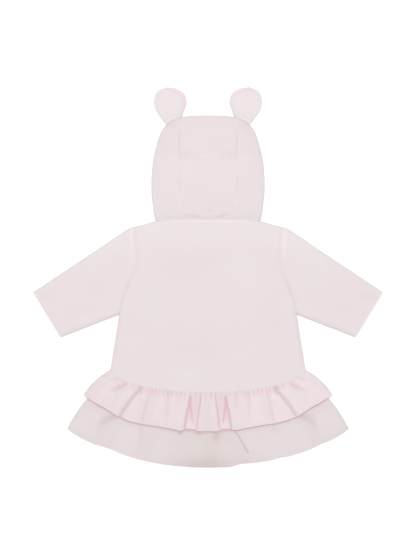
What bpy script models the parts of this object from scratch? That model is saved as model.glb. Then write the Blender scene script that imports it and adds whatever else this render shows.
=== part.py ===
"""A baby's hooded rain jacket with two ears and a two-tier gathered hem, laid flat on its front.

The wearer's left is at -X, the hood points to +Y and the back of the jacket looks up along +Z.
Sizes are in millimetres and turn into metres where a point is placed. Each cut piece is a grid
bent to shape and thickened evenly to both sides, so a height below is that of a cloth's middle.
"""
import math
from collections import namedtuple

import bmesh
import bpy
from mathutils import Vector

MM = 0.001
COLLECTION = "hooded_rain_jacket"

# Cloth and how the layers lie
CLOTH = 1.2
GAP = 0.3
LAYER = CLOTH + GAP
FLOOR_PLY = CLOTH / 2
AIR = 3.0                       # how far the back rises off the front, away from the closed edges
AIR_RAMP = 6.0                  # the width over which it rises
FOLD_HEIGHT = 2 * CLOTH + GAP   # a pressed edge, two plies and the gap between them

Point = namedtuple("Point", "x y")

# Body, right half, in plan
NECK = Point(83.2, 89.6)
SHOULDER = Point(118.0, 80.0)
UNDERARM = Point(142.0, -60.5)
SIDE_END = Point(156.0, -148.0)
ARMHOLE = [SHOULDER, Point(116.0, 54.0), Point(115.4, 31.0), Point(120.0, 3.0),
           Point(126.0, -12.0), Point(135.5, -37.0), UNDERARM]
FRONT_NECK_Y = 61.7
NECK_BOW = 8.0                  # how far the front neckline sags below a straight line

# Sleeves
SLEEVE_ROUND = Point(127.0, 77.2)
CUFF_TOP = Point(279.4, -24.2)
CUFF_UNDER = Point(235.2, -96.6)

# Hem: where the seam and the two hems lie at the middle, and how round each line is
SEAM_Y = -184.2
SEAM_ROUND = (2.5, 0.66)
UPPER_END = Point(199.4, -188.5)
UPPER_Y = -246.2
UPPER_ROUND = 2.35
LOWER_END = Point(225.0, -242.0)
LOWER_Y = -304.4
LOWER_ROUND = (2.0, 0.83)
LOWER_INSET = Point(148.0, -156.5)
UPPER_BULGE = Point(1.6, 3.4)
LOWER_BULGE = Point(7.0, 4.6)

# Hood
STRIP_HALF = 46.5
CROSS_SEAM_Y = 187.0
FOREHEAD_Y = 190.0
CROWN_Y = 258.0
CROWN_DROP = 3.3
HOOD_RISE = 20.0
HOOD_SHOULDER = 68.0            # the width over which the hood rounds up to its full height
ROLL = 3.6                      # height of the outermost line of the hood's rounded edge
HOOD_START = NECK.y + 0.9       # the hood's edge in the neck seam
ROLL_RUN = 20.0                 # the length over which its rounded edge thickens above the neck
NECK_LIP = 8.0                  # the length over which its cloth puffs out above the neck seam
NECK_TOP = 8.5                  # its height there, and how wide its rounding is
NECK_SHOULDER = 14.0
HOOD_RUN = 100.0                # the length over which it then rises to its full height
HOOD_SIDE = [Point(83.6, 90.6), Point(85.7, 97.0), Point(87.6, 112.0), Point(90.0, 131.0),
             Point(89.9, 162.0), Point(86.9, 190.4), Point(82.4, 209.6), Point(76.2, 228.8),
             Point(69.8, 239.2), Point(59.6, 248.9), Point(46.5, 254.7)]
MOUTH = [Point(0.3, 62.3), Point(10.0, 82.0), Point(25.0, 114.0), Point(38.0, 150.0),
         Point(46.5, 190.0)]
SEAM_TOP_Y = 248.5              # where the side panels' seams turn over the crown
MOUTH_SHARE = 0.72              # share of a side panel's rows that end at the face opening

# Ears: the two sides of an ear run from its root to its tip
EAR_ROOT_X = (42.0, 66.5)       # the ear's root follows the hood's edge between these
EAR_SEAT = 1.5                  # from the middle of the hood's edge to the ear's root
EAR_INNER = [Point(38.3, 266.0), Point(34.3, 279.0), Point(38.2, 292.5), Point(50.0, 300.8),
             Point(66.0, 303.9)]
EAR_OUTER = [Point(75.0, 254.0), Point(83.2, 267.0), Point(86.2, 281.0), Point(81.8, 295.5),
             Point(66.0, 303.9)]
EAR_LAST = 0.985                # share of the sides at the last row, just short of the tip
EAR_FOOT = 0.25                 # share of the rows over which the root's curve straightens
EAR_PLUMP = 2.7
EAR_RIM = 15.0

# Front closure
PLACKET_HALF = 14.0
PLACKET_STEP = 3.5
STUD_X = 9.0
STUD_RADIUS = 4.5
STUD_YS = [40.0, -20.0, -80.0, -140.0]

# A crease runs from the seam to the hem: where it starts and ends across, how wide it is there,
# how far it stands above (or sinks below) the cloth, and the share of the depth that it covers.
Crease = namedtuple("Crease", "seam_x hem_x seam_width hem_width height start end")
RUFFLE = [Crease(*row) for row in (
    # seam_x, hem_x, seam_width, hem_width, height, start, end
    (-149, -168, 5.0, 12.0, 3.0, 0.0, 0.9),
    (-131, -156, 3.0, 10.0, -2.6, 0.0, 0.8),
    (-121, -136, 3.5, 11.0, 4.2, 0.0, 1.2),
    (-109, -125, 2.6, 7.0, -3.4, 0.0, 1.2),
    (-98, -112, 3.2, 10.0, 3.6, 0.0, 1.2),
    (-86, -97, 2.4, 5.0, -2.2, 0.0, 0.9),
    (-74, -80, 3.0, 9.0, 3.0, 0.0, 1.2),
    (-62, -66, 2.4, 5.0, -2.0, 0.0, 0.8),
    (-52, -54, 3.0, 9.0, 2.6, 0.0, 1.1),
    (-39, -43, 3.2, 8.0, 3.8, 0.0, 1.2),
    (-28, -29, 3.0, 6.5, -3.8, 0.0, 1.2),
    (-13, -15, 3.4, 7.0, 3.6, 0.0, 1.2),
    (0, 0, 4.0, 10.0, 3.0, 0.0, 1.2),
    (12, 17, 3.4, 7.0, 3.6, 0.0, 1.2),
    (23, 29, 3.0, 6.5, -3.8, 0.0, 1.2),
    (34, 43, 3.2, 8.0, 3.8, 0.0, 1.2),
    (46, 54, 2.6, 6.0, 2.4, 0.0, 0.8),
    (56, 66, 2.4, 5.0, -1.8, 0.0, 0.8),
    (66, 78, 3.0, 9.0, 3.0, 0.0, 1.2),
    (80, 92, 2.4, 6.0, -2.2, 0.0, 0.7),
    (91, 104, 3.0, 9.0, 3.4, 0.0, 1.2),
    (103, 121, 2.6, 5.0, -2.2, 0.0, 0.8),
    (111, 134, 3.2, 9.0, 4.2, 0.0, 1.2),
    (119, 146, 2.6, 8.0, -3.4, 0.0, 1.2),
    (132, 160, 3.2, 10.0, 3.4, 0.0, 1.0),
    (149, 176, 4.0, 11.0, 2.8, 0.0, 0.9),)]
RUFFLE_LIFT = 2.6               # how far the gathered tier stands off the tier below it
GATHER_PITCH = 7.2
GATHER_HEIGHT = 1.3
GATHER_DEPTH = 0.42
UNDER_FOLDS = [Crease(*row) for row in (
    # seam_x, hem_x, seam_width, hem_width, height, start, end
    (-128, -190, 5.0, 12.0, 1.9, 0.3, 1.1),
    (-92, -118, 4.0, 14.0, 1.4, 0.4, 1.1),
    (-44, -62, 4.0, 12.0, 1.3, 0.4, 1.0),
    (-10, -14, 4.0, 14.0, 1.2, 0.4, 1.0),
    (26, 70, 4.0, 9.0, 2.0, 0.4, 1.1),
    (88, 120, 4.0, 13.0, 1.4, 0.4, 1.1),
    (122, 188, 5.0, 12.0, 1.9, 0.3, 1.1),)]

COLOURS = {"back": (0.83, 0.75, 0.77), "front": (0.83, 0.74, 0.76), "sleeve": (0.83, 0.75, 0.77),
           "hood": (0.84, 0.76, 0.77), "ear": (0.87, 0.79, 0.80), "upper": (0.83, 0.70, 0.74),
           "lower": (0.75, 0.66, 0.67), "placket": (0.83, 0.74, 0.76), "stud": (0.90, 0.86, 0.86)}


def smooth(t):
    t = min(1.0, max(0.0, t))
    return t * t * (3 - 2 * t)


def mix(a, b, t):
    return a + (b - a) * t


def between(a, b, t):
    return Point(mix(a.x, b.x, t), mix(a.y, b.y, t))


def curve(points, t):
    """The point at a share t of a smooth curve through the points."""
    spans = [math.dist(a, b) for a, b in zip(points, points[1:])]
    walk = min(1.0, max(0.0, t)) * sum(spans)
    i = 0
    while i < len(spans) - 1 and walk > spans[i]:
        walk -= spans[i]
        i += 1
    before, after = max(i - 1, 0), min(i + 2, len(points) - 1)
    s = walk / spans[i]

    def value(axis):
        start, end = points[i][axis], points[i + 1][axis]
        lead = spans[i] / (spans[i] + (spans[i - 1] if i else 0.0))
        tail = spans[i] / (spans[i] + (spans[i + 1] if i + 1 < len(spans) else 0.0))
        leaving = (end - points[before][axis]) * lead
        arriving = (points[after][axis] - start) * tail
        return ((2 * s - 3) * s * s + 1) * start + ((s - 2) * s + 1) * s * leaving \
            + (3 - 2 * s) * s * s * end + (s - 1) * s * s * arriving
    return Point(value(0), value(1))


def distance(points, x, y):
    """How far a point in plan lies from a chain of straight stretches."""
    nearest = math.inf
    for a, b in zip(points, points[1:]):
        run = Point(b.x - a.x, b.y - a.y)
        share = ((x - a.x) * run.x + (y - a.y) * run.y) / (run.x ** 2 + run.y ** 2)
        share = min(1.0, max(0.0, share))
        nearest = min(nearest, math.hypot(x - a.x - run.x * share, y - a.y - run.y * share))
    return nearest


TOP_FOLD = [NECK, SHOULDER, SLEEVE_ROUND, CUFF_TOP]
SIDE_FOLD = [CUFF_UNDER, UNDERARM, SIDE_END,
             Point((SIDE_END.x + UPPER_END.x) / 2 + UPPER_BULGE.x,
                   (SIDE_END.y + UPPER_END.y) / 2 + UPPER_BULGE.y), UPPER_END]


def crown_y(x):
    """The line of the hood's crown above a place across the middle strip."""
    return CROWN_Y - CROWN_DROP * abs(x / STRIP_HALF) ** 2.5


HOOD_EDGE = [curve(HOOD_SIDE, i / 40) for i in range(41)] \
    + [Point(x, crown_y(x)) for x in (40.0, 30.0, 20.0, 10.0, 0.0, -20.0)]


def rise(d):
    """Height of the upper ply's middle at a distance d inside an edge that is closed."""
    return LAYER + FLOOR_PLY + AIR * smooth((d - FOLD_HEIGHT / 2) / AIR_RAMP)


def back_height(x, y):
    """Height of the back and of the sleeves' upper side, with the soft dents of cloth at rest."""
    d = min(distance(TOP_FOLD, abs(x), y), distance(SIDE_FOLD, abs(x), y))
    dent = math.sin(x / 31.0 + y / 55.0) * math.sin(y / 42.0 - x / 90.0)
    return rise(d) + 0.22 * (1 + dent) * smooth((d - AIR_RAMP) / 30.0)


def seam_line(share):
    """The tiers' seam, at a share of the half width."""
    first, second = SEAM_ROUND
    return SEAM_Y + (SIDE_END.y - SEAM_Y) * (1 - (1 - min(1.0, share) ** first) ** second)


def upper_hem(share):
    return UPPER_END.y + (UPPER_Y - UPPER_END.y) * (1 - min(1.0, share) ** UPPER_ROUND)


def lower_hem(share):
    first, second = LOWER_ROUND
    return LOWER_END.y + (LOWER_Y - LOWER_END.y) * (1 - min(1.0, share) ** first) ** second


def side_edge(v):
    """The body's outer edge, down the armhole and on down the side seam."""
    if v < 0.6:
        return curve(ARMHOLE, v / 0.6)
    return between(UNDERARM, SIDE_END, (v - 0.6) / 0.4)


def body_plan(u, v, top_line):
    """A place on the body, u across from the middle to the edge and v down from the top."""
    edge = side_edge(v)
    down = (SHOULDER.y - edge.y) / (SHOULDER.y - SIDE_END.y)
    share = abs(u)
    top = top_line(share * SHOULDER.x) - SHOULDER.y
    bottom = seam_line(share) - SIDE_END.y + GAP
    y = edge.y + (1 - down) * top + down * bottom
    return Point(u * edge.x, y)


def shoulder_line(x):
    return mix(NECK.y, SHOULDER.y, max(0.0, x - NECK.x) / (SHOULDER.x - NECK.x))


def front_top(x):
    if x > NECK.x:
        return shoulder_line(x)
    t = x / NECK.x
    return mix(FRONT_NECK_Y, NECK.y, t) - NECK_BOW * 4 * t * (1 - t)


def creases(table, x, v):
    """The sum of the creases' heights at a place across and down a tier."""
    total = 0.0
    for c in table:
        if c.start < v < c.end:
            width = mix(c.seam_width, c.hem_width, v)
            offset = (x - mix(c.seam_x, c.hem_x, v)) / width
            fade = smooth((v - c.start) / 0.12) if c.start else 1.0
            fade *= smooth((c.end - v) / 0.3)
            total += c.height * fade * math.exp(-offset * offset)
    return total


def make_object(name, mesh, colour, roughness, metallic=0.0):
    material = bpy.data.materials.new(name)
    material.use_nodes = True
    shader = material.node_tree.nodes["Principled BSDF"]
    shader.inputs["Base Color"].default_value = (*colour, 1.0)
    shader.inputs["Roughness"].default_value = roughness
    shader.inputs["Metallic"].default_value = metallic
    mesh.materials.append(material)
    obj = bpy.data.objects.new(name, mesh)
    bpy.data.collections[COLLECTION].objects.link(obj)
    return obj


def cut_piece(name, place, columns, rows, colour, closed=False):
    """A grid bent to place(u, v), which gives millimetres, and thickened to both sides."""
    bm = bmesh.new()
    bmesh.ops.create_grid(bm, x_segments=columns, y_segments=rows, size=1.0)
    for vert in bm.verts:
        u, v = (vert.co.x + 1) / 2, (vert.co.y + 1) / 2
        vert.co = Vector(place(u, v)) * MM
    if closed:
        bmesh.ops.remove_doubles(bm, verts=bm.verts, dist=1e-6)
    mesh = bpy.data.meshes.new(name)
    bm.to_mesh(mesh)
    bm.free()
    mesh.shade_smooth()
    obj = make_object(name, mesh, colour, roughness=0.55)
    wall = obj.modifiers.new("cloth", "SOLIDIFY")
    wall.thickness = CLOTH * MM
    wall.offset = 0.0
    wall.use_even_offset = True
    wall.use_quality_normals = True
    return obj


def build_back():
    def place(u, v):
        p = body_plan(2 * u - 1, v, shoulder_line)
        return p.x, p.y, back_height(p.x, p.y)
    cut_piece("back", place, 26, 15, COLOURS["back"])


def build_fronts():
    for name, side in (("front_left", -1), ("front_right", 1)):
        def place(u, v, side=side):
            p = body_plan(u, v, front_top)
            return side * max(p.x, GAP / 2), p.y, FLOOR_PLY
        cut_piece(name, place, 14, 15, COLOURS["front"])


def build_placket():
    top, bottom = FRONT_NECK_Y - 2.0, SEAM_Y + 1.0

    def place(u, v):
        x = mix(-PLACKET_HALF, PLACKET_HALF, u)
        step = smooth((x + PLACKET_STEP) / (2 * PLACKET_STEP))
        return x, mix(top, bottom, v), FLOOR_PLY + LAYER * (1 + step)
    cut_piece("placket", place, 16, 1, COLOURS["placket"])
    for number, y in enumerate(STUD_YS, start=1):
        bpy.ops.mesh.primitive_cylinder_add(
            vertices=20, radius=STUD_RADIUS * MM, depth=CLOTH * MM,
            location=(STUD_X * MM, y * MM, (LAYER + FLOOR_PLY) * MM))
        raw = bpy.context.object
        obj = make_object(f"press_stud_{number}", raw.data, COLOURS["stud"], roughness=0.35)
        obj.location = raw.location
        bpy.data.objects.remove(raw)


def build_sleeve(name, side):
    """A flattened tube: under ply, top fold, upper ply and the fold at the underarm seam."""
    fold = FOLD_HEIGHT / 2
    ring = fold - FLOOR_PLY
    flat, turn = 0.38, 0.12

    def plan(across, v):
        """across is 0 at the top fold and 1 at the underarm; v runs from armhole to cuff."""
        top = curve([SHOULDER, SLEEVE_ROUND, between(SLEEVE_ROUND, CUFF_TOP, 0.3), CUFF_TOP], v)
        under = between(UNDERARM, CUFF_UNDER, v)
        armhole = curve(ARMHOLE, across)
        chord = between(SHOULDER, UNDERARM, across)
        keep = (1 - v) ** 2
        p = between(top, under, across)
        return Point(p.x + keep * (armhole.x - chord.x) + GAP, p.y + keep * (armhole.y - chord.y))

    def place(u, v):
        width = math.dist(plan(0, v), plan(1, v))
        inset = fold / width
        if u < flat:
            p = plan(mix(1 - inset, inset, u / flat), v)
            z = FLOOR_PLY
        elif u < 0.5:
            angle = math.pi * (u - flat) / turn
            p = plan(inset - ring * math.sin(angle) / width, v)
            z = fold - ring * math.cos(angle)
        elif u < 0.5 + flat:
            p = plan(mix(inset, 1 - inset, (u - 0.5) / flat), v)
            z = back_height(p.x, p.y)
        else:
            angle = math.pi * (u - 0.5 - flat) / turn
            p = plan(1 - inset + ring * math.sin(angle) / width, v)
            z = fold + ring * math.cos(angle)
        return side * p.x, p.y, z
    cut_piece(name, place, 50, 8, COLOURS["sleeve"], closed=True)


def hood_roll(y):
    """Height of the outermost line of the hood's edge."""
    return mix(FOLD_HEIGHT / 2, ROLL, smooth((y - NECK.y) / ROLL_RUN))


def hood_height(x, y):
    """Height of the hood's upper side: from its rounded edge up to a crown that rises from the neck."""
    d = distance(HOOD_EDGE, abs(x), y)
    start = hood_roll(y)
    up = 1 - (1 - min(1.0, (y - NECK.y) / HOOD_RUN)) ** 2
    top = mix(NECK_TOP, HOOD_RISE, up)
    q = 1 - min(1.0, d / mix(NECK_SHOULDER, HOOD_SHOULDER, up))
    dome = start + (top - start) * math.sqrt(1 - q * q)
    fold = FOLD_HEIGHT / 2
    turned = 1 - min(1.0, d / fold)
    neck = fold + (fold - FLOOR_PLY) * math.sqrt(1 - turned * turned) + rise(d) - rise(0)
    return mix(neck, dome, smooth((y - NECK.y) / NECK_LIP))


def hood_side_plan(v):
    """Where a row of a side panel starts at the strip, turns at the edge and ends below."""
    edge = curve(HOOD_SIDE, v)
    start = Point(STRIP_HALF + GAP / 2, mix(HOOD_START, SEAM_TOP_Y, v))
    if v < MOUTH_SHARE:
        end = curve(MOUTH, v / MOUTH_SHARE)
    else:
        t = (v - MOUTH_SHARE) / (1 - MOUTH_SHARE)
        end = Point(STRIP_HALF + GAP / 2, mix(FOREHEAD_Y, SEAM_TOP_Y, t))
    edge = Point(max(edge.x, STRIP_HALF + GAP / 2), edge.y)
    return start, edge, end


def build_hood_side(name, side):
    """From the strip's seam out over the edge, and back below to the face opening."""
    over, turn = 0.5, 0.15

    def place(u, v):
        start, edge, end = hood_side_plan(v)
        roll = hood_roll(edge.y)
        radius = roll - FLOOR_PLY
        below = math.dist(edge, end)
        if u <= over:
            share = math.sin(math.pi / 2 * u / over)
            p = between(start, edge, share)
            z = hood_height(p.x, p.y) if share < 1 else roll
        elif u <= over + turn:
            angle = math.pi / 2 * (u - over) / turn
            p = between(edge, end, radius * (1 - math.cos(angle)) / below)
            z = roll - radius * math.sin(angle)
        else:
            t = mix(radius / below, 1.0, (u - over - turn) / (1 - over - turn))
            sag = NECK_BOW * 4 * t * (1 - t) * (1 - smooth(v / 0.25))
            p = between(edge, end, t)
            p = Point(p.x, p.y - sag)
            z = FLOOR_PLY
        return side * p.x, p.y, z
    cut_piece(name, place, 20, 18, COLOURS["hood"])


def build_hood_strips():
    half = STRIP_HALF - GAP / 2

    def back_strip(u, v):
        x = mix(-half, half, u)
        y = mix(HOOD_START, CROSS_SEAM_Y - GAP / 2, v)
        return x, y, hood_height(x, y)

    def top_strip(u, v):
        """Up to the crown, over its edge and down below to the forehead."""
        x = mix(-half, half, u)
        crown = crown_y(x)
        radius = ROLL - FLOOR_PLY
        over, turn = 0.5, 0.2
        if v <= over:
            share = math.sin(math.pi / 2 * v / over)
            y = mix(CROSS_SEAM_Y + GAP / 2, crown, share)
            z = hood_height(x, y) if share < 1 else ROLL
        elif v <= over + turn:
            angle = math.pi / 2 * (v - over) / turn
            y = crown - radius * (1 - math.cos(angle))
            z = ROLL - radius * math.sin(angle)
        else:
            y = mix(crown - radius, FOREHEAD_Y, (v - over - turn) / (1 - over - turn))
            z = FLOOR_PLY
        return x, y, z
    cut_piece("hood_back_strip", back_strip, 10, 12, COLOURS["hood"])
    cut_piece("hood_top_strip", top_strip, 10, 20, COLOURS["hood"])


def hood_edge_y(x):
    """The hood's edge above a place between the crown and the ear's outer root."""
    if x < STRIP_HALF:
        return crown_y(x)
    for a, b in zip(HOOD_EDGE, HOOD_EDGE[1:]):
        if b.x <= x <= a.x and a.y > HOOD_SIDE[5].y:
            return mix(a.y, b.y, (x - a.x) / (b.x - a.x))
    return crown_y(STRIP_HALF)


def ear_plan(u, v):
    """A rounded ear on a narrower root, u across it and v from the root to the tip.

    The third value is how far the place lies inside the ear's edge.
    """
    low, high = [Point(x, hood_edge_y(x) + EAR_SEAT) for x in EAR_ROOT_X]
    inner = curve([low] + EAR_INNER, v * EAR_LAST)
    outer = curve([high] + EAR_OUTER, v * EAR_LAST)
    p = between(inner, outer, u)
    root_x = mix(low.x, high.x, u)
    bow = hood_edge_y(root_x) + EAR_SEAT - mix(low.y, high.y, u)
    length = EAR_OUTER[-1].y - low.y
    rim = min(math.dist(inner, outer) / 2 * (1 - abs(2 * u - 1)), length * (1 - v))
    return p.x, p.y + bow * (1 - smooth(v / EAR_FOOT)), rim


def build_ear(prefix, side):
    def upper(u, v):
        x, y, rim = ear_plan(u, v)
        plump = EAR_PLUMP * math.sqrt(smooth(rim / EAR_RIM))
        return side * x, y, FLOOR_PLY + LAYER + plump

    def under(u, v):
        x, y, _ = ear_plan(u, v)
        return side * x, y, FLOOR_PLY
    cut_piece(prefix + "_back", upper, 8, 11, COLOURS["ear"])
    cut_piece(prefix + "_front", under, 8, 11, COLOURS["ear"])


def tier_plan(u, v, top_end, end, hem, bulge):
    """A place on a tier, u from -1 to 1 across and v from the seam to the hem."""
    share = abs(u)
    top = Point(share * top_end.x, seam_line(share * top_end.x / SIDE_END.x) - GAP / 2)
    bottom = Point(share * end.x, hem(share))
    p = between(top, bottom, v)
    swell = math.sin(math.pi * v) * share ** 6
    return math.copysign(p.x + bulge.x * swell, u), p.y + bulge.y * swell


def gathers(x, v, width):
    """Small even gathers that start in the seam and die out."""
    fade = smooth(1 - v / GATHER_DEPTH) * smooth((width - abs(x)) / 12.0)
    return GATHER_HEIGHT * fade * (1 + math.sin(2 * math.pi * x / GATHER_PITCH + math.sin(x / 17)))


def build_upper_tier():
    def back(u, v):
        x, y = tier_plan(2 * u - 1, v, SIDE_END, UPPER_END, upper_hem, UPPER_BULGE)
        d = distance(SIDE_FOLD, abs(x), y)
        waves = RUFFLE_LIFT + creases(RUFFLE, x, v)
        height = max(0.0, waves * mix(0.35, 1.0, smooth(v / 0.3)) + gathers(x, v, SIDE_END.x))
        return x, y, rise(d) + height * smooth((d - AIR_RAMP) / 12.0)
    cut_piece("upper_tier_back", back, 164, 6, COLOURS["upper"])
    for name, side in (("upper_tier_front_left", -1), ("upper_tier_front_right", 1)):
        def front(u, v, side=side):
            x, y = tier_plan(u, v, SIDE_END, UPPER_END, upper_hem, UPPER_BULGE)
            return side * max(x, GAP / 2), y, FLOOR_PLY
        cut_piece(name, front, 16, 3, COLOURS["upper"])


def build_lower_tier():
    def drop(v):
        """The lower tier lies on the upper one, and past its hem sinks to the floor."""
        return 1 - smooth((v - 0.56) / 0.2)

    def back(u, v):
        x, y = tier_plan(2 * u - 1, v, LOWER_INSET, LOWER_END, lower_hem, LOWER_BULGE)
        folds = max(0.0, creases(UNDER_FOLDS, x, v)) * smooth((v - 0.56) / 0.15)
        folds *= smooth((1 - abs(2 * u - 1)) / 0.05)
        return x, y, FLOOR_PLY + LAYER * (1 + drop(v)) + folds
    cut_piece("lower_tier_back", back, 52, 8, COLOURS["lower"])
    for name, side in (("lower_tier_front_left", -1), ("lower_tier_front_right", 1)):
        def front(u, v, side=side):
            x, y = tier_plan(u, v, LOWER_INSET, LOWER_END, lower_hem, LOWER_BULGE)
            return side * max(x, GAP / 2), y, FLOOR_PLY + LAYER * drop(v)
        cut_piece(name, front, 20, 8, COLOURS["lower"])


def main():
    for obj in list(bpy.data.objects):
        bpy.data.objects.remove(obj)
    collection = bpy.data.collections.new(COLLECTION)
    bpy.context.scene.collection.children.link(collection)
    build_back()
    build_fronts()
    build_placket()
    for word, side in (("left", -1), ("right", 1)):
        build_sleeve("sleeve_" + word, side)
        build_hood_side("hood_side_" + word, side)
        build_ear("ear_" + word, side)
    build_hood_strips()
    build_upper_tier()
    build_lower_tier()


main()
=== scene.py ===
from collections import namedtuple

import bpy
import numpy as np
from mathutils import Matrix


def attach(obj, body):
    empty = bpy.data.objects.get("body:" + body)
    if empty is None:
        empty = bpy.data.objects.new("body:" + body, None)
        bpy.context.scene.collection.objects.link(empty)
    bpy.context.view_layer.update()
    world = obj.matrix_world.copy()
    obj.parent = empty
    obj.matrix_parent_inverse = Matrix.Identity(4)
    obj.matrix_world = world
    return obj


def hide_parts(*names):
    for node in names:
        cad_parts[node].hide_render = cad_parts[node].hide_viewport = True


# A baby's hooded rain jacket laid flat on its front, its back looking up along +Z.
# The hood points to +Y and the wearer's left sleeve to -X.
# Every surface is worked out in millimetres and turned into metres in its mesh.
# A height is that of the middle of the cloth.

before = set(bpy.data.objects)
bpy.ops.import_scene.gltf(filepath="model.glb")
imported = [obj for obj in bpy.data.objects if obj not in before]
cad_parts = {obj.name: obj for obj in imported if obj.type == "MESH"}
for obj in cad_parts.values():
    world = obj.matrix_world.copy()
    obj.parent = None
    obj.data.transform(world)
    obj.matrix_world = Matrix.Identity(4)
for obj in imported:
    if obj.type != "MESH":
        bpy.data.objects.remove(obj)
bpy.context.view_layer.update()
mm = 0.001
sides = (("left", -1), ("right", 1))
farAway = 400.0             # added to a distance where a line doesn't reach
print("frame loaded with", len(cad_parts), "pieces")

cloth = dict(
    wall=0.6,           # thickness of a ply
    rim=0.06,           # how far its cut edges are rounded
    floor=0.32,         # the ply that lies on the floor
    turn=0.45,          # radius of a pressed fold
    plateau=5.1,        # height of the upper plies over the air inside
    roundness=9.0,      # width over which they curve up from a fold
    meeting=0.15,       # from the middle to the edge of each front
)
cloth["low"] = cloth["floor"] + 2 * cloth["turn"]       # the lowest that an upper ply lies


def smooth(t):
    # 3t^2 - 2t^3 between 0 and 1, flat outside
    t = np.clip(t, 0.0, 1.0)
    return t * t * (3 - 2 * t)


def mix(a, b, t):
    # a where t is 0, b where it is 1
    return a + (b - a) * t


def bell(distance, width):
    # 1 on a line, falling to 0 at about two widths beside it
    return np.exp(-(distance / width) ** 2)


def hump(t):
    # quarter of a circle: 0 at 0 with an upright start, 1 from 1 on
    return np.sqrt(1 - (1 - np.clip(t, 0.0, 1.0)) ** 2)


def curveThrough(points, share):
    # a smooth curve through points, cubic between each pair, its slopes taken from the
    # neighbours in proportion to the spans; share runs from 0 to 1 along it
    p = np.asarray(points, float)
    spans = np.hypot(*np.diff(p, axis=0).T)
    marks = np.concatenate(([0.0], np.cumsum(spans)))
    walk = np.clip(share, 0.0, 1.0) * marks[-1]
    i = np.clip(np.searchsorted(marks, walk, side="right") - 1, 0, len(spans) - 1)
    s = ((walk - marks[i]) / spans[i])[..., None]
    before, after = np.maximum(i - 1, 0), np.minimum(i + 2, len(p) - 1)
    spanBefore = np.where(i > 0, spans[np.maximum(i - 1, 0)], 0.0)
    spanAfter = np.where(i + 1 < len(spans), spans[np.minimum(i + 1, len(spans) - 1)], 0.0)
    leaving = (p[i + 1] - p[before]) * (spans[i] / (spans[i] + spanBefore))[..., None]
    arriving = (p[after] - p[i]) * (spans[i] / (spans[i] + spanAfter))[..., None]
    place = ((2 * s - 3) * s * s + 1) * p[i] + ((s - 2) * s + 1) * s * leaving \
        + (3 - 2 * s) * s * s * p[i + 1] + (s - 1) * s * s * arriving
    return place[..., 0], place[..., 1]


def lineField(points, x, y):
    # for every place: distance from a chain of straight stretches, the side on which it lies
    # (+1 on the left of the way along it) and how far along the chain it is, from 0 to 1
    p = np.asarray(points, float)
    spans = np.hypot(*np.diff(p, axis=0).T)
    marks = np.concatenate(([0.0], np.cumsum(spans)))
    nearest = np.full(np.shape(x), np.inf)
    side, share = np.zeros(np.shape(x)), np.zeros(np.shape(x))
    for i, span in enumerate(spans):
        runX, runY = (p[i + 1] - p[i]) / span
        dx, dy = x - p[i, 0], y - p[i, 1]
        along = np.clip(dx * runX + dy * runY, 0.0, span)
        away = np.hypot(dx - along * runX, dy - along * runY)
        closer = away < nearest
        nearest = np.where(closer, away, nearest)
        side = np.where(closer, np.sign(runX * dy - runY * dx), side)
        share = np.where(closer, (marks[i] + along) / marks[-1], share)
    return nearest, side, share


# A fold is a ridge (or, with a negative height, a trough) along a line. Each side of it has a
# width of its own: a narrow side is where the cloth laps over. spread widens it towards its end,
# and fadeIn and fadeOut are the shares of its length over which it comes and goes.
Fold = namedtuple("Fold", "line height leftWidth rightWidth spread fadeIn fadeOut")


def foldHeight(folds, x, y):
    # sum of height * exp(-(distance / width)^2), faded at the two ends of each line;
    # left and right are those of the picture for a line that runs down or to the right
    total = np.zeros(np.shape(x))
    for fold in folds:
        away, side, share = lineField(fold.line, x, y)
        runsDown = fold.line[-1][1] < fold.line[0][1]
        onRight = side > 0 if runsDown else side < 0
        width = np.where(onRight, fold.rightWidth, fold.leftWidth) * mix(1.0, fold.spread, share)
        fade = smooth(share / fold.fadeIn) if fold.fadeIn else 1.0
        if fold.fadeOut:
            fade = fade * smooth((1 - share) / fold.fadeOut)
        total += fold.height * fade * bell(away, width)
    return total


def ripple(x, y, length, seed):
    # soft uneven dents: three crossing sine waves of unlike lengths, between about -1 and 1
    a = np.sin(x / length + 1.7 * seed) * np.sin(y / (1.4 * length) - 0.9 * seed)
    b = np.sin((0.8 * x + 0.6 * y) / (0.62 * length) + 2.3 * seed)
    c = np.sin((0.5 * x - 0.87 * y) / (0.81 * length) - 1.1 * seed)
    return 0.5 * a + 0.25 * b + 0.25 * c


def lineAt(line, x):
    # y of a line of points that runs to the right
    return np.interp(x, *np.array(line).T)


def softMaximum(value, softness):
    # the larger of a value and 0, rounded where they meet
    return 0.5 * (value + np.sqrt(value ** 2 + softness))


# The outline that the body, the sleeves and the tiers share, right half
outline = dict(
    neck=(83.2, 89.6), shoulder=(118.0, 80.0), underarm=(142.0, -60.5), sideEnd=(156.0, -148.0),
    armhole=[(118.0, 80.0), (116.0, 54.0), (115.4, 31.0), (120.0, 3.0), (126.0, -12.0),
             (135.5, -37.0), (142.0, -60.5)],
    armRows=0.6,            # share of the body's rows that lie beside the armhole
    sleeveRound=(127.0, 77.2), cuffTop=(279.4, -24.2), cuffUnder=(235.2, -96.6),
    frontNeck=61.7, neckBow=8.0,
    seamMiddle=-184.2,
    upperEnd=(199.4, -188.5), upperHem=-246.2, upperBulge=(1.6, 3.4),
    lowerEnd=(225.0, -242.0), lowerHem=-304.4, lowerInset=(148.0, -156.5), lowerBulge=(7.0, 4.6),
)
outline["upperLength"] = outline["seamMiddle"] - outline["upperHem"]
sideMiddle = [(a + b) / 2 + c for a, b, c in
              zip(outline["sideEnd"], outline["upperEnd"], outline["upperBulge"])]
topFold = [outline[k] for k in ("neck", "shoulder", "sleeveRound", "cuffTop")]
sideFold = [outline["cuffUnder"], outline["underarm"], outline["sideEnd"], sideMiddle,
            outline["upperEnd"]]


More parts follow.
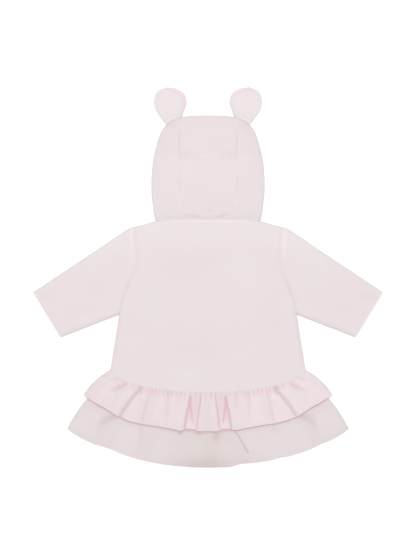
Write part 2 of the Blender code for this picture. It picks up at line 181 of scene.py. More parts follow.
def fromFolds(x, y):
    # distance inside the nearest closed edge of the body, sleeves and upper tier
    return np.minimum(lineField(topFold, np.abs(x), y)[0], lineField(sideFold, np.abs(x), y)[0])


def risen(away):
    # height of the upper ply at a distance inside a fold: low at the fold, curving up at once
    # and levelling off, as cloth with air under it does
    t = np.clip((away - cloth["turn"]) / cloth["roundness"], 0.0, 1.0)
    return mix(cloth["low"], cloth["plateau"], (1 - (1 - t) ** 2.4) ** 0.7)


def edgeShade(inside):
    # painted shade: the cloth is coloured a little deeper where it turns down at a fold
    return bell(inside, 1.8)


def seamLine(share):
    # the tiers' seam: level in the middle, turning up at the sides
    top, low = outline["sideEnd"][1], outline["seamMiddle"]
    return low + (top - low) * (1 - (1 - np.clip(share, 0.0, 1.0) ** 2.5) ** 0.66)


def upperHem(share):
    # a superellipse from its low middle up to the side
    end, middle = outline["upperEnd"][1], outline["upperHem"]
    return end + (middle - end) * (1 - np.clip(share, 0.0, 1.0) ** 2.35)


def lowerHem(share):
    # the same, rounder
    end, middle = outline["lowerEnd"][1], outline["lowerHem"]
    return end + (middle - end) * (1 - np.clip(share, 0.0, 1.0) ** 2) ** 0.83


def bodyPlan(across, down, topLine):
    # across from -1 to 1, down from 0 to 1: a row's end runs along the armhole, then straight
    # down the side seam; x is that end's x times across, and y is the end's y bent towards the
    # shoulder line in the upper rows and towards the tiers' seam in the lower ones
    armRows = outline["armRows"]
    armX, armY = curveThrough(outline["armhole"], down / armRows)
    t = np.clip((down - armRows) / (1 - armRows), 0.0, 1.0)
    (ax, ay), (bx, by) = outline["underarm"], outline["sideEnd"]
    edgeX = np.where(down < armRows, armX, mix(ax, bx, t))
    edgeY = np.where(down < armRows, armY, mix(ay, by, t))
    (shoulderX, shoulderY), endY = outline["shoulder"], outline["sideEnd"][1]
    depth = (shoulderY - edgeY) / (shoulderY - endY)
    share = np.abs(across)
    top = topLine(share * shoulderX) - shoulderY
    bottom = seamLine(share) - endY
    return across * edgeX, edgeY + (1 - depth) * top + depth * bottom


def shoulderLine(x):
    # straight from the neck out to the shoulder, level inside the neck
    (neckX, neckY), (shoulderX, shoulderY) = outline["neck"], outline["shoulder"]
    return mix(neckY, shoulderY, np.clip((x - neckX) / (shoulderX - neckX), 0.0, 1.0))


def frontTop(x):
    # the front neckline sags below a straight line, then the shoulder goes on
    neckX, neckY = outline["neck"]
    t = np.clip(x / neckX, 0.0, 1.0)
    line = mix(outline["frontNeck"], neckY, t) - outline["neckBow"] * 4 * t * (1 - t)
    return np.where(x > neckX, shoulderLine(x), line)


def tierPlan(across, down, top, end, hem, bulge):
    # across from -1 to 1, straight down from the seam to the hem as down goes from 0 to 1; the
    # sides swell outwards by half a sine wave, which fades quickly inwards
    share = np.abs(across)
    topX = share * top[0]
    topY = seamLine(topX / outline["sideEnd"][0])
    swell = np.sin(np.pi * down) * share ** 6
    x = mix(topX, share * end[0], down) + bulge[0] * swell
    return np.where(across < 0, -x, x), mix(topY, hem(share), down) + bulge[1] * swell


def upperPlan(across, down):
    return tierPlan(across, down, outline["sideEnd"], outline["upperEnd"], upperHem,
                    outline["upperBulge"])


def lowerPlan(across, down):
    # its sides start further in, below the upper tier
    return tierPlan(across, down, outline["lowerInset"], outline["lowerEnd"], lowerHem,
                    outline["lowerBulge"])


class Wire:
    # a socket to reckon with: + - * add Math nodes, and node() adds any other one
    def __init__(self, tree, socket=None):
        self.tree, self.socket = tree, socket

    def node(self, kind, settings=None, inputs=None, output=0):
        made = self.tree.nodes.new(kind)
        for key, value in (settings or {}).items():
            setattr(made, key, value)
        self.feed(made, inputs or {})
        return Wire(self.tree, made.outputs[output])

    def feed(self, node, inputs):
        # links or values for the sockets of a node
        for key, value in inputs.items():
            if isinstance(value, Wire):
                self.tree.links.new(value.socket, node.inputs[key])
            else:
                node.inputs[key].default_value = value

    def other(self, output):
        return Wire(self.tree, self.socket.node.outputs[output])

    def maths(self, operation, *values):
        return self.node("ShaderNodeMath", {"operation": operation}, dict(enumerate(values)))

    def clamped(self):
        return self.maths("MINIMUM", self.maths("MAXIMUM", self, 0.0), 1.0)

    def mixed(self, first, second):
        # a colour between two, by this factor
        return self.node("ShaderNodeMix", {"data_type": "RGBA", "clamp_factor": False},
                         {0: self, 6: first, 7: second}, output=2)

    def __add__(self, other):
        return self.maths("ADD", self, other)

    def __sub__(self, other):
        return self.maths("SUBTRACT", self, other)

    def __rsub__(self, other):
        return self.maths("SUBTRACT", other, self)

    def __mul__(self, other):
        return self.maths("MULTIPLY", self, other)

    __radd__, __rmul__ = __add__, __mul__


def startMaterial(name):
    # a new material, its shader and a wire to begin with
    material = bpy.data.materials.new(name)
    material.use_nodes = True
    tree = material.node_tree
    return material, tree.nodes["Principled BSDF"], Wire(tree)


weave = dict(
    pitch=0.55 * mm,        # from one thread to the next
    depth=0.035 * mm,
    crinkle=0.16 * mm,      # the fine unevenness of coated cloth
    tone=0.035,             # painted shade: how much darker the gaps between threads are
    mottle=0.07,
    hollowShade=(0.80, 0.73, 0.70),      # painted shade: what a broad hollow leaves of the colour
    roughness=0.56,
    sheen=0.12,
    broadScale=14.0, fineScale=170.0, crinkleScale=95.0,        # patches of noise to a metre
)


def clothMaterial(name, colour, deep):
    # height = plain weave + crinkles; colour = base, mottled, with painted shade between the threads,
    # pinker painted shade in creases and browner painted shade in broad hollows, or a painted
    # highlight where that shade is below 0
    material, shader, start = startMaterial(name)
    place = start.node("ShaderNodeTexCoord", output="Object")
    grain = start.node("ShaderNodeUVMap", {"uv_map": "grain"})
    crease = start.node("ShaderNodeAttribute", {"attribute_name": "crease"}, output="Fac")
    shade = start.node("ShaderNodeAttribute", {"attribute_name": "shade"}, output="Fac")
    across = start.node("ShaderNodeSeparateXYZ", inputs={"Vector": grain})
    along = across.other("Y")
    warp = start.maths("SINE", across * (np.pi / weave["pitch"]))
    weft = start.maths("SINE", along * (np.pi / weave["pitch"]))
    over = (warp * weft * 6.0 + 0.5).clamped()      # 1 where the warp thread lies on top
    thread = start.maths("ABSOLUTE", warp) * over + start.maths("ABSOLUTE", weft) * (1 - over)

    def noise(scale, detail, output="Fac"):
        return start.node("ShaderNodeTexNoise", None,
                          {"Vector": place, "Scale": scale, "Detail": detail}, output)
    broad, fine = noise(weave["broadScale"], 3.0), noise(weave["fineScale"], 3.0)
    crinkles = noise(weave["crinkleScale"], 5.0)
    tone = (1 - thread) * weave["tone"] + (broad - 0.5) * weave["mottle"] + (fine - 0.5) * 0.03
    base = (tone * 2.2 + 0.08).clamped().mixed((*colour, 1.0), (*deep, 1.0))
    hollowShade = [c * s for c, s in zip(colour, weave["hollowShade"])]
    # painted crease shade and painted shade or highlight mixed into the cloth's colour
    tinted = crease.mixed(shade.mixed(base, (*hollowShade, 1.0)), (*deep, 1.0))
    height = thread * (weave["depth"] / mm) + crinkles * (weave["crinkle"] / mm)
    bump = start.node("ShaderNodeBump", None, {"Strength": 1.0, "Distance": mm, "Height": height})
    rough = weave["roughness"] + (fine - 0.5) * 0.12 + (1 - thread) * 0.05
    start.feed(shader, {
        "Base Color": tinted, "Roughness": rough, "Normal": bump, "Specular IOR Level": 0.32,
        "Sheen Weight": weave["sheen"], "Sheen Roughness": 0.45})
    return material


tones = dict(       # colour of the cloth, and of its painted crease shade
    shell=((0.757, 0.698, 0.706), (0.70, 0.50, 0.54)),
    hood=((0.762, 0.703, 0.708), (0.71, 0.50, 0.53)),
    ear=((0.778, 0.713, 0.721), (0.73, 0.54, 0.58)),
    # the tiers are the shell's cloth, the upper one pinker as painted light bounced between its folds,
    # the lower one darker and greyer as painted shade below the upper tier
    upper=((0.769, 0.689, 0.703), (0.72, 0.46, 0.505)),
    lower=((0.728, 0.666, 0.671), (0.69, 0.47, 0.50)),
    thread=((0.80, 0.72, 0.73), (0.72, 0.60, 0.62)),
)
materials = {key: clothMaterial(key + "_cloth", *pair) for key, pair in tones.items()}
print("materials made:", len(materials))


def marked(crease, shade=0.0):
    # how far a place takes the painted shade of a crease, and the painted shade of a hollow; a shade
    # below 0 is a painted highlight, cloth that catches the light
    crease, shade = np.broadcast_arrays(crease, shade)
    return np.stack((np.clip(crease, 0.0, 1.0), np.clip(shade, -0.5, 1.0)), axis=-1)


def gridMesh(name, points, marks, grain, closed):
    # rows by columns of points in millimetres; a closed grid joins its last column to its first
    rows, columns = points.shape[:2]
    kept = columns - 1 if closed else columns
    row, column = np.meshgrid(np.arange(rows - 1), np.arange(columns - 1), indexing="ij")
    cornerRow = np.stack((row, row, row + 1, row + 1), axis=-1)
    cornerColumn = np.stack((column, column + 1, column + 1, column), axis=-1)
    quads = row.size
    mesh = bpy.data.meshes.new(name)
    mesh.vertices.add(rows * kept)
    mesh.vertices.foreach_set("co", (points[:, :kept] * mm).ravel())
    mesh.loops.add(4 * quads)
    mesh.loops.foreach_set("vertex_index", (cornerRow * kept + cornerColumn % kept).ravel())
    mesh.polygons.add(quads)
    mesh.polygons.foreach_set("loop_start", np.arange(0, 4 * quads, 4))
    mesh.polygons.foreach_set("use_smooth", np.ones(quads, bool))
    mesh.uv_layers.new(name="grain").uv.foreach_set(
        "vector", (grain[cornerRow, cornerColumn] * mm).ravel())
    for i, word in enumerate(("crease", "shade")):
        mesh.attributes.new(word, "FLOAT", "POINT").data.foreach_set(
            "value", marks[:, :kept, i].ravel().astype(np.float32))
    mesh.update(calc_edges=True)
    return mesh


def newObject(name, data):
    obj = bpy.data.objects.new(name, data)
    bpy.context.scene.collection.objects.link(obj)
    return obj


def layCloth(piece, place, across=None, closed=False):
    # place(u, v) gives the points, the marks of painted crease shade and painted shade and the cloth's
    # own grain; u and v run from 0 to 1 in even steps, unless those across are given
    u, v = np.meshgrid(steps(piece["columns"]) if across is None else across, steps(piece["rows"]))
    obj = newObject(piece["name"], gridMesh(piece["name"], *place(u, v), closed))
    obj.data.materials.append(materials[piece["tone"]])
    wall = obj.modifiers.new("ply", "SOLIDIFY")
    wall.thickness = cloth["wall"] * mm
    wall.offset = 0.0
    wall.use_quality_normals = True
    rim = obj.modifiers.new("rim", "BEVEL")
    rim.width = cloth["rim"] * mm
    rim.limit_method = "ANGLE"
    rim.angle_limit = np.radians(65)
    rim.harden_normals = True
    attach(obj, "root")
    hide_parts(piece["node"])
    return obj


def layPair(piece, name, node, place, **grid):
    # the left one, then the right one
    for word, side in sides:
        layCloth(dict(piece, name=name.format(word), node=node.format(word)), place(side), **grid)


def steps(count):
    return np.linspace(0.0, 1.0, count + 1)


def laid(x, y, z, marks, pull=1.0):
    # what layCloth needs, for cloth whose threads run along x and y; pull is how much wider it
    # was before it was gathered
    return np.stack((x, y, z), axis=-1), marks, np.stack((pull * x, y), axis=-1)


# Body
gathers = dict(     # where the upper tier is drawn together at its seam, in millimetres
    at=(-129, -118, -111.5, -105.6, -98, -92.8, -88.5, -83, -78.4, -70.7, -63, -57.6,
        -52.5, -48.8, -43.2, -37.3, -28, -20, -12, -4, 5, 12, 20.5, 28.2, 35, 43.8, 48.3, 57.8,
        64.3, 72, 80, 86, 93.1, 98.4, 105.8, 111.2, 120, 131),
    knots=(-105.6, 105.8),
    depth=0.9, width=1.4, length=21.0, puff=0.6,
)


def gatherHeight(x, below):
    # narrow troughs below the seam at each gather, with small puffs of cloth between them
    total = np.zeros(np.shape(x))
    for i, at in enumerate(gathers["at"]):
        knot = 1.6 if at in gathers["knots"] else 1.0
        length = gathers["length"] * (0.8 + 0.45 * np.sin(i * 2.4) ** 2) * knot
        width = gathers["width"] * (0.85 + 0.4 * np.cos(i * 1.9) ** 2) * knot
        middle = at + 0.0016 * at * below
        fade = smooth(1 - below / length)
        total -= gathers["depth"] * knot * fade * bell(x - middle, width)
    puffs = 0.5 + 0.5 * np.sin(x * 0.93 + 1.3 * np.sin(x / 13.0))
    return total + gathers["puff"] * puffs * smooth(1 - below / 16.0)


back = dict(
    name="back_panel", node="back", tone="shell", slot="shell_cloth",
    flat=(0.312, 0.278), area=0.0715, held="laid", restsOn=["placket_strip"],
    columns=160, rows=132,
    dents=0.42,         # height of the soft dents
    folds=[
        Fold([(-96, 6), (-50, 10), (4, 34), (30, 58)], -0.5, 26, 24, 1.0, 0.4, 0.4),
        Fold([(-92, -104), (-40, -112), (20, -108), (48, -96)], -0.5, 24, 26, 1.0, 0.4, 0.4),
        Fold([(96, 74), (92, 30), (98, -20)], -0.25, 14, 16, 1.2, 0.4, 0.4),
        Fold([(-130, -66), (-104, -88), (-76, -98)], -0.4, 9, 14, 1.3, 0.2, 0.6),
        Fold([(130, -66), (106, -84), (80, -92)], -0.4, 14, 9, 1.3, 0.2, 0.6),
        Fold([(-64, -150), (-40, -160), (-4, -163)], 0.4, 14, 12, 1.0, 0.4, 0.4),
        Fold([(44, 40), (60, 0), (64, -50)], 0.4, 20, 24, 1.0, 0.4, 0.4),
    ],
)


def neckLight(x):
    # the seam allowance below the hood catches the light, less towards the sides
    return smooth((80.0 - np.abs(x)) / 30.0)


def backPanel(u, v):
    # height = rise from the folded edges + ripple + folds, dipped along the armholes, the neck
    # and the tiers' seam, with a soft ridge beside each dip and the ends of the gathers
    x, y = bodyPlan(2 * u - 1, v, shoulderLine)
    inside = fromFolds(x, y)
    inner = smooth((inside - 4.0) / 26.0)
    arm, _, armShare = lineField(outline["armhole"], np.abs(x), y)
    neck = outline["neck"][1] - y + farAway * (np.abs(x) > outline["neck"][0])
    seam = y - seamLine(np.abs(x) / outline["sideEnd"][0])
    armDip = bell(arm, mix(1.3, 2.2, armShare))
    neckDip, seamDip = bell(neck, 1.5), bell(seam, 1.5)
    z = risen(inside) + back["dents"] * ripple(x, y, 34.0, 1.0) * inner
    z += foldHeight(back["folds"], x, y) * inner
    z -= 0.2 * armDip + 0.1 * neckDip + 0.1 * seamDip
    z += 0.3 * bell(arm - 3.2, 1.7) + 0.3 * bell(neck - 2.0, 1.6)
    z += 0.15 * bell(seam - 3.4, 2.2)
    z += 0.3 * gatherHeight(x, np.maximum(seam, 0.0) * 1.6) * smooth((inside - 3.0) / 8.0)
    # painted shade along the armhole seam, near the underarm, in fold troughs and at the folded edges,
    # and painted highlights beside the lower armhole, on fold ridges, on the neck seam and towards the
    # top
    low = smooth((armShare - 0.45) / 0.3)
    crease = (0.1 + 0.1 * smooth((0.22 - armShare) / 0.1) + 0.04 * low) * armDip \
        + 0.08 * edgeShade(inside)
    shade = 0.08 * low * bell(arm, 3.0) - 0.1 * low * bell(arm - 4.0, 1.6) \
        - 0.16 * foldHeight(back["folds"], x, y) * inner - 0.4 * neckDip * neckLight(x) \
        - 0.1 * smooth((y - 30.0) / 40.0) + 0.15 * edgeShade(inside)
    z = np.maximum(z, cloth["floor"] + 0.8)
    return laid(x, y, z, marked(crease, shade))


layCloth(back, backPanel)

front = dict(
    tone="shell", slot="shell_cloth", flat=(0.156, 0.274), area=0.0340, held="laid", restsOn=[],
    columns=56, rows=84, facing=12.0,
)


def frontPanel(side):
    def place(u, v):
        # flat on the floor, with a low ridge where its front edge is turned in
        x, y = bodyPlan(u, v, frontTop)
        x = side * np.maximum(x, cloth["meeting"])
        edge = bell(np.abs(x) - front["facing"], 0.8)
        z = np.full(x.shape, cloth["floor"]) + 0.12 * edge
        # painted crease shade along the turned-in edge
        return laid(x, y, z, marked(0.3 * edge))
    return place


layPair(front, "front_panel_{}", "front_{}", frontPanel)

placket = dict(
    name="placket_strip", node="placket", tone="shell", slot="shell_cloth",
    flat=(0.028, 0.247), area=0.0069, held="laid", restsOn=["front_panel_left"],
    columns=20, rows=90, half=14.0, top=59.7, bottom=-183.2, step=3.5,
)


def placketStrip(u, v):
    # level beside the left front, then a step up over the press studs
    x = mix(-placket["half"], placket["half"], u)
    y = mix(placket["top"], placket["bottom"], v)
    up = smooth((x + placket["step"]) / (2 * placket["step"]))
    z = mix(1.6, 3.2, up) + 0.1 * ripple(x, y, 20.0, 4.0)
    return laid(x, y, z, marked(np.zeros(x.shape)))


layCloth(placket, placketStrip)
print("body laid")

# Sleeves: a flattened tube each
sleeve = dict(
    tone="shell", slot="shell_cloth", flat=(0.285, 0.180), area=0.0318, held="laid", restsOn=[],
    rows=84, underColumns=34, turnColumns=6, overColumns=84,
    underEnd=0.40, topTurn=0.46, overEnd=0.94,      # where each stretch round the tube ends
    dents=0.42, hem=11.0,
    folds={
        1: [Fold([(140, -50), (131, -26), (122, 6)], -0.4, 2.4, 6, 1.0, 0.1, 0.5),
            Fold([(152, -36), (171, -30), (190, -40)], -0.4, 10, 9, 1.2, 0.4, 0.5),
            Fold([(158, 44), (190, 22), (226, 2)], 0.45, 12, 14, 1.0, 0.4, 0.4),
            Fold([(196, -62), (222, -54), (250, -36)], -0.45, 10, 14, 1.2, 0.4, 0.4),
            Fold([(252, -12), (262, -26), (266, -46)], -1.1, 12, 10, 1.2, 0.4, 0.4)],
        -1: [Fold([(-140, -50), (-131, -26), (-122, 6)], -0.5, 6, 2.4, 1.0, 0.1, 0.5),
             Fold([(-252, -14), (-263, -28), (-262, -48)], -0.9, 12, 10, 1.2, 0.4, 0.4),
             Fold([(-238, -44), (-208, -54), (-170, -60)], -0.45, 14, 10, 1.2, 0.4, 0.4),
             Fold([(-218, 8), (-186, 24), (-156, 46)], 0.45, 14, 12, 1.0, 0.4, 0.4),
             Fold([(-204, -30), (-180, -22), (-156, -28)], -0.45, 12, 10, 1.2, 0.4, 0.4),
             Fold([(-134, 60), (-144, 28), (-140, 4)], -0.35, 10, 8, 1.2, 0.4, 0.4)],
    },
)


def sleevePlan(across, down):
    # across from the top fold (0) to the underarm (1), down from the armhole to the cuff: straight
    # between the two edges, plus the armhole's curve, which fades as the square of what is left
    start, end = outline["sleeveRound"], outline["cuffTop"]
    third = tuple(mix(a, b, 0.3) for a, b in zip(start, end))
    topX, topY = curveThrough([outline["shoulder"], start, third, end], down)
    (ux, uy), (cx, cy) = outline["underarm"], outline["cuffUnder"]
    (sx, sy) = outline["shoulder"]
    armX, armY = curveThrough(outline["armhole"], across)
    keep = (1 - down) ** 2
    x = mix(topX, mix(ux, cx, down), across) + keep * (armX - mix(sx, ux, across))
    y = mix(topY, mix(uy, cy, down), across) + keep * (armY - mix(sy, uy, across))
    return x, y


def sleeveTube(side):
    turn, floor = cloth["turn"], cloth["floor"]
    underEnd, topTurn, overEnd = (sleeve[k] for k in ("underEnd", "topTurn", "overEnd"))

    def place(u, v):
        # once round: the under ply flat on the floor, half a circle at the top fold, the upper ply
        # risen with ripple and folds, and half a circle at the underarm
        topX, topY = sleevePlan(np.zeros(v.shape), v)
        lowX, lowY = sleevePlan(np.ones(v.shape), v)
        inset = turn / np.hypot(topX - lowX, topY - lowY)
        topAngle = np.pi * np.clip((u - underEnd) / (topTurn - underEnd), 0.0, 1.0)
        lowAngle = np.pi * np.clip((u - overEnd) / (1 - overEnd), 0.0, 1.0)
        under, over = u < underEnd, (u >= topTurn) & (u < overEnd)
        across = np.select(
            [under, u < topTurn, over],
            [mix(1 - inset, inset, u / underEnd), inset * (1 - np.sin(topAngle)),
             mix(inset, 1 - inset, (u - topTurn) / (overEnd - topTurn))],
            1 - inset * (1 - np.sin(lowAngle)))
        x, y = sleevePlan(across, v)
        inside = fromFolds(x, y)
        inner = smooth((inside - 3.0) / 22.0)
        arm = lineField(outline["armhole"], x, y)[0]
        cuff, _, _ = lineField([outline["cuffTop"], outline["cuffUnder"]], x, y)
        armDip = bell(arm, 1.6)
        hemLine = bell(cuff - sleeve["hem"], 0.9)
        z = risen(inside) + sleeve["dents"] * ripple(side * x, y, 30.0, 2.0 + side) * inner
        z += foldHeight(sleeve["folds"][side], side * x, y) * inner
        z += (0.2 * smooth((sleeve["hem"] - cuff) / 1.5) - 0.08 * hemLine) * inner
        top = smooth((y - 16.0) / 40.0)
        z += (0.35 * top * bell(arm - 4.6, 2.4) - 0.16 * armDip) * smooth(inside / 6.0)
        z = np.where(over, np.maximum(z, cloth["low"]), z)
        z = np.select([under, u < topTurn, over],
                      [floor, floor + turn * (1 - np.cos(topAngle)), z],
                      floor + turn * (1 + np.cos(lowAngle)))
        # painted shade on the plies out of sight, along the armhole seam, the hem line and the folded
        # edges, near the underarm and in fold troughs, and painted highlights on fold ridges, beside the
        # upper armhole and towards the top
        shown = over.astype(float)
        crease = shown * (0.1 * armDip + 0.14 * top * bell(arm - 1.9, 1.3)
                          + 0.03 * hemLine + 0.08 * edgeShade(inside)) + 0.2 * (1 - shown)
        folds = foldHeight(sleeve["folds"][side], side * x, y)
        low = smooth((20.0 - y) / 30.0) * bell(arm, 4.5)
        shade = shown * (0.14 * low - 0.16 * folds * inner + 0.2 * edgeShade(inside)
                         - 0.24 * top * bell(arm - 5.2, 3.0)
                         - 0.09 * smooth((y - 10.0) / 50.0))
        grain = np.stack((0.86 * x - 0.51 * y, 0.51 * x + 0.86 * y), axis=-1)
        return np.stack((side * x, y, z), axis=-1), marked(crease, shade), grain
    return place


sleeveAcross = np.concatenate((
    np.linspace(0.0, sleeve["underEnd"], sleeve["underColumns"], endpoint=False),
    np.linspace(sleeve["underEnd"], sleeve["topTurn"], sleeve["turnColumns"], endpoint=False),
    np.linspace(sleeve["topTurn"], sleeve["overEnd"], sleeve["overColumns"], endpoint=False),
    np.linspace(sleeve["overEnd"], 1.0, sleeve["turnColumns"] + 1)))
layPair(sleeve, "sleeve_tube_{}", "sleeve_{}", sleeveTube, across=sleeveAcross, closed=True)
print("sleeves laid")

# Hood
hood = dict(
    stripHalf=46.5, crossSeam=187.0, forehead=190.0, crown=258.0, crownDrop=3.3,
    rise=20.0, shoulder=68.0, roll=3.6, seamTop=248.5, start=89.65, rollRun=20.0,
    neckTop=5.9, neckShoulder=12.0, run=100.0,
    side=[(83.5, 89.9), (85.7, 97.0), (87.6, 112.0), (90.0, 131.0), (89.9, 162.0), (86.9, 190.4),
          (82.4, 209.6), (76.2, 228.8), (69.8, 239.2), (59.6, 248.9), (46.5, 254.7)],
    mouth=[(0.3, 62.3), (10.0, 82.0), (25.0, 114.0), (38.0, 150.0), (46.5, 190.0)],
    mouthShare=0.72,
    lip=8.0,                    # the width over which its cloth puffs out above the neck seam
    dents=0.55,
    neckFolds=[
        Fold([(-44, 103), (-34, 99), (-22, 97.2), (-7, 95.6)], -0.9, 2.4, 2.2, 1.0, 0.6, 0.3),
        Fold([(9, 95.2), (22, 97.2), (32, 99), (42, 103)], -0.9, 2.4, 2.2, 1.0, 0.3, 0.6),
        Fold([(-3, 104.4), (1.4, 103.7), (6, 104.8)], -0.6, 2.8, 2.8, 1.0, 0.3, 0.3),
        Fold([(-84, 101), (-74, 100), (-60, 97)], -0.6, 2.6, 2.2, 1.0, 0.3, 0.5),
        Fold([(60, 97), (74, 100), (85, 102)], -0.6, 2.6, 2.2, 1.0, 0.5, 0.3),
    ],
    folds=[
        Fold([(-30, 150), (-14, 128), (8, 118)], -0.5, 14, 12, 1.0, 0.4, 0.4),
        Fold([(64, 205), (70, 170), (68, 135)], -0.6, 9, 8, 1.1, 0.4, 0.4),
        Fold([(-66, 200), (-72, 168), (-67, 132)], -0.6, 8, 9, 1.1, 0.4, 0.4),
        Fold([(-28, 236), (-4, 228), (22, 233)], -0.5, 10, 12, 1.0, 0.4, 0.4),
    ],
)


def crownLine(x):
    # level in the middle, dropping towards the seams as a power of x
    return hood["crown"] - hood["crownDrop"] * np.abs(x / hood["stripHalf"]) ** 2.5


crownX = np.array([40.0, 30.0, 20.0, 10.0, 0.0, -20.0])
hoodEdge = np.concatenate((np.stack(curveThrough(hood["side"], steps(60)), axis=-1),
                           np.stack((crownX, crownLine(crownX)), axis=-1)))


def hoodRoll(y):
    # height of the outermost line of the hood's rounded edge
    return mix(cloth["floor"] + 0.9, hood["roll"], smooth((y - outline["neck"][1]) / hood["rollRun"]))


def hoodHeight(x, y):
    # an ellipse from the rounded edge up to a crown that rises from the neck; its cloth puffs out
    # over the neck seam, with a ridge beside each seam and the neck folds
    away = lineField(hoodEdge, np.abs(x), y)[0]
    fromNeck = np.maximum(y - hood["start"], 0.0)
    start = hoodRoll(y)
    up = 1 - (1 - np.clip(fromNeck / hood["run"], 0.0, 1.0)) ** 2
    top = mix(hood["neckTop"], hood["rise"], up)
    dome = start + (top - start) * hump(away / mix(hood["neckShoulder"], hood["shoulder"], up))
    neck = np.minimum(risen(away + cloth["turn"]) - 0.1, dome)
    z = mix(neck, dome, smooth(fromNeck / hood["lip"]))
    inner = smooth(away / 14.0) * smooth(fromNeck / 3.0)
    z += hood["dents"] * ripple(x, y, 27.0, 3.0) * smooth(away / 24.0) * smooth(fromNeck / 20.0)
    z += foldHeight(hood["neckFolds"] + hood["folds"], x, y) * inner
    seam = np.abs(x) - hood["stripHalf"]
    cross = y - hood["crossSeam"] + farAway * (seam > 0)
    upTo = smooth(away / 5.0) * smooth(fromNeck / 6.0)
    z += (0.3 * bell(seam + 1.9, 1.4) - 0.1 * bell(seam, 1.1)) * upTo
    z += 0.2 * bell(cross - 2.4, 2.0) * upTo
    return z


def overEdge(t, over, turn):
    # the three stretches of a panel that runs out to the hood's edge as a quarter of a sine
    # wave, turns down there and comes back below
    out = np.sin(np.pi / 2 * np.clip(t / over, 0.0, 1.0))
    angle = np.pi / 2 * np.clip((t - over) / turn, 0.0, 1.0)
    return out, angle, np.clip((t - over - turn) / (1 - over - turn), 0.0, 1.0)


def hoodMarks(x, y):
    # crease = painted shade along the seams, uneven, deeper in the upper half and low on the hood,
    # + a painted line and arcs above the neck + painted shade at the edge; shade = painted shade beside
    # each seam's middle, in the arcs, at the edge, along the cross seam and at the crown's corners, a
    # little darker above the cross seam, less painted highlights on the seams' ends and on the neck seam
    away = lineField(hoodEdge, np.abs(x), y)[0]
    seam = np.abs(x) - hood["stripHalf"]
    cross = y - hood["crossSeam"] + farAway * (seam > 0)
    uneven = 0.75 + 0.35 * np.sin(y / 2.3 + np.sign(x) * np.sin(y / 5.1)) * np.sin(y / 7.7 + x)
    seamShade = 0.04 + 0.34 * smooth((y - 190.0) / 6.0) * smooth((240.0 - y) / 14.0) \
        + 0.2 * (bell(y - 228.0, 3.5) + bell(y - 216.0, 3.5)) + 0.32 * bell(y - 147.0, 12.0)
    corner = bell(seam + 12.0, 13.0) * bell(y - 195.0, 8.0) * (seam < 0)
    neckLine = bell(y - hood["start"] - 4.4, 1.6) * smooth((64.0 - np.abs(x)) / 20.0)
    arcs = np.clip(-foldHeight(hood["neckFolds"], x, y), 0.0, 1.5)
    light = bell(seam + 0.4, 1.6) * (bell(y - 122.0, 12.0) + 0.6 * bell(y - 246.0, 7.0))
    crease = uneven * seamShade * bell(seam + 0.8, 2.2) + 0.2 * neckLine \
        + 0.28 * arcs * (np.abs(x) < 54) + 0.06 * edgeShade(away)
    shade = 0.16 * corner + 0.1 * arcs - 0.25 * neckLine + 0.08 * smooth((y - 188.0) / 14.0) \
        + 0.25 * bell(np.abs(x) - 60.0, 10.0) * bell(y - 244.0, 7.0) + 0.25 * edgeShade(away) \
        + 0.05 * bell(cross, 1.8) - 0.3 * light \
        - 0.4 * bell(y - hood["start"], 1.6) * neckLight(x)
    return marked(crease, shade)


hoodSide = dict(
    tone="hood", slot="hood_cloth", flat=(0.16, 0.19), area=0.0200, held="laid", restsOn=[],
    columns=104, rows=104, over=0.52, turn=0.12,
)


def hoodSidePanel(side):
    over, turn = hoodSide["over"], hoodSide["turn"]
    floor = cloth["floor"]

    def place(u, v):
        # from the strip's seam out over the edge, a quarter turn, and back below to the face
        edgeX, edgeY = curveThrough(hood["side"], v)
        edgeX = np.maximum(edgeX, hood["stripHalf"])
        startX, startY = hood["stripHalf"], mix(hood["start"], hood["seamTop"], v)
        mouthX, mouthY = curveThrough(hood["mouth"], v / hood["mouthShare"])
        above = v >= hood["mouthShare"]
        t = (v - hood["mouthShare"]) / (1 - hood["mouthShare"])
        endX = np.where(above, hood["stripHalf"], mouthX)
        endY = np.where(above, mix(hood["forehead"], hood["seamTop"], t), mouthY)
        roll = hoodRoll(edgeY)
        radius = roll - floor
        below = np.hypot(edgeX - endX, edgeY - endY)
        out, angle, under = overEdge(u, over, turn)
        inward = np.where(u <= over + turn, radius * (1 - np.cos(angle)) / below,
                          mix(radius / below, 1.0, under))
        x = np.where(u <= over, mix(startX, edgeX, out), mix(edgeX, endX, inward))
        y = np.where(u <= over, mix(startY, edgeY, out), mix(edgeY, endY, inward))
        y -= np.where(u > over, outline["neckBow"] * 4 * inward * (1 - inward)
                      * (1 - smooth(v / 0.25)), 0.0)
        z = np.where(u < over, hoodHeight(side * x, y),
                     np.where(u <= over + turn, roll - radius * np.sin(angle), floor))
        # the turn and the ply below get painted crease shade and painted shade
        marks = np.where((u <= over)[..., None], hoodMarks(side * x, y), 0.2)
        return laid(side * x, y, z, marks)
    return place


layPair(hoodSide, "hood_panel_{}", "hood_side_{}", hoodSidePanel)

hoodStrips = dict(
    tone="hood", slot="hood_cloth", held="laid", restsOn=["hood_panel_left", "hood_panel_right"],
    columns=62, over=0.52, turn=0.14,
)


def hoodBackStrip(u, v):
    # straight across and up from the neck to the cross seam, on the hood's height
    x = mix(-hood["stripHalf"], hood["stripHalf"], u)
    y = mix(hood["start"], hood["crossSeam"], v)
    return laid(x, y, hoodHeight(x, y), hoodMarks(x, y))


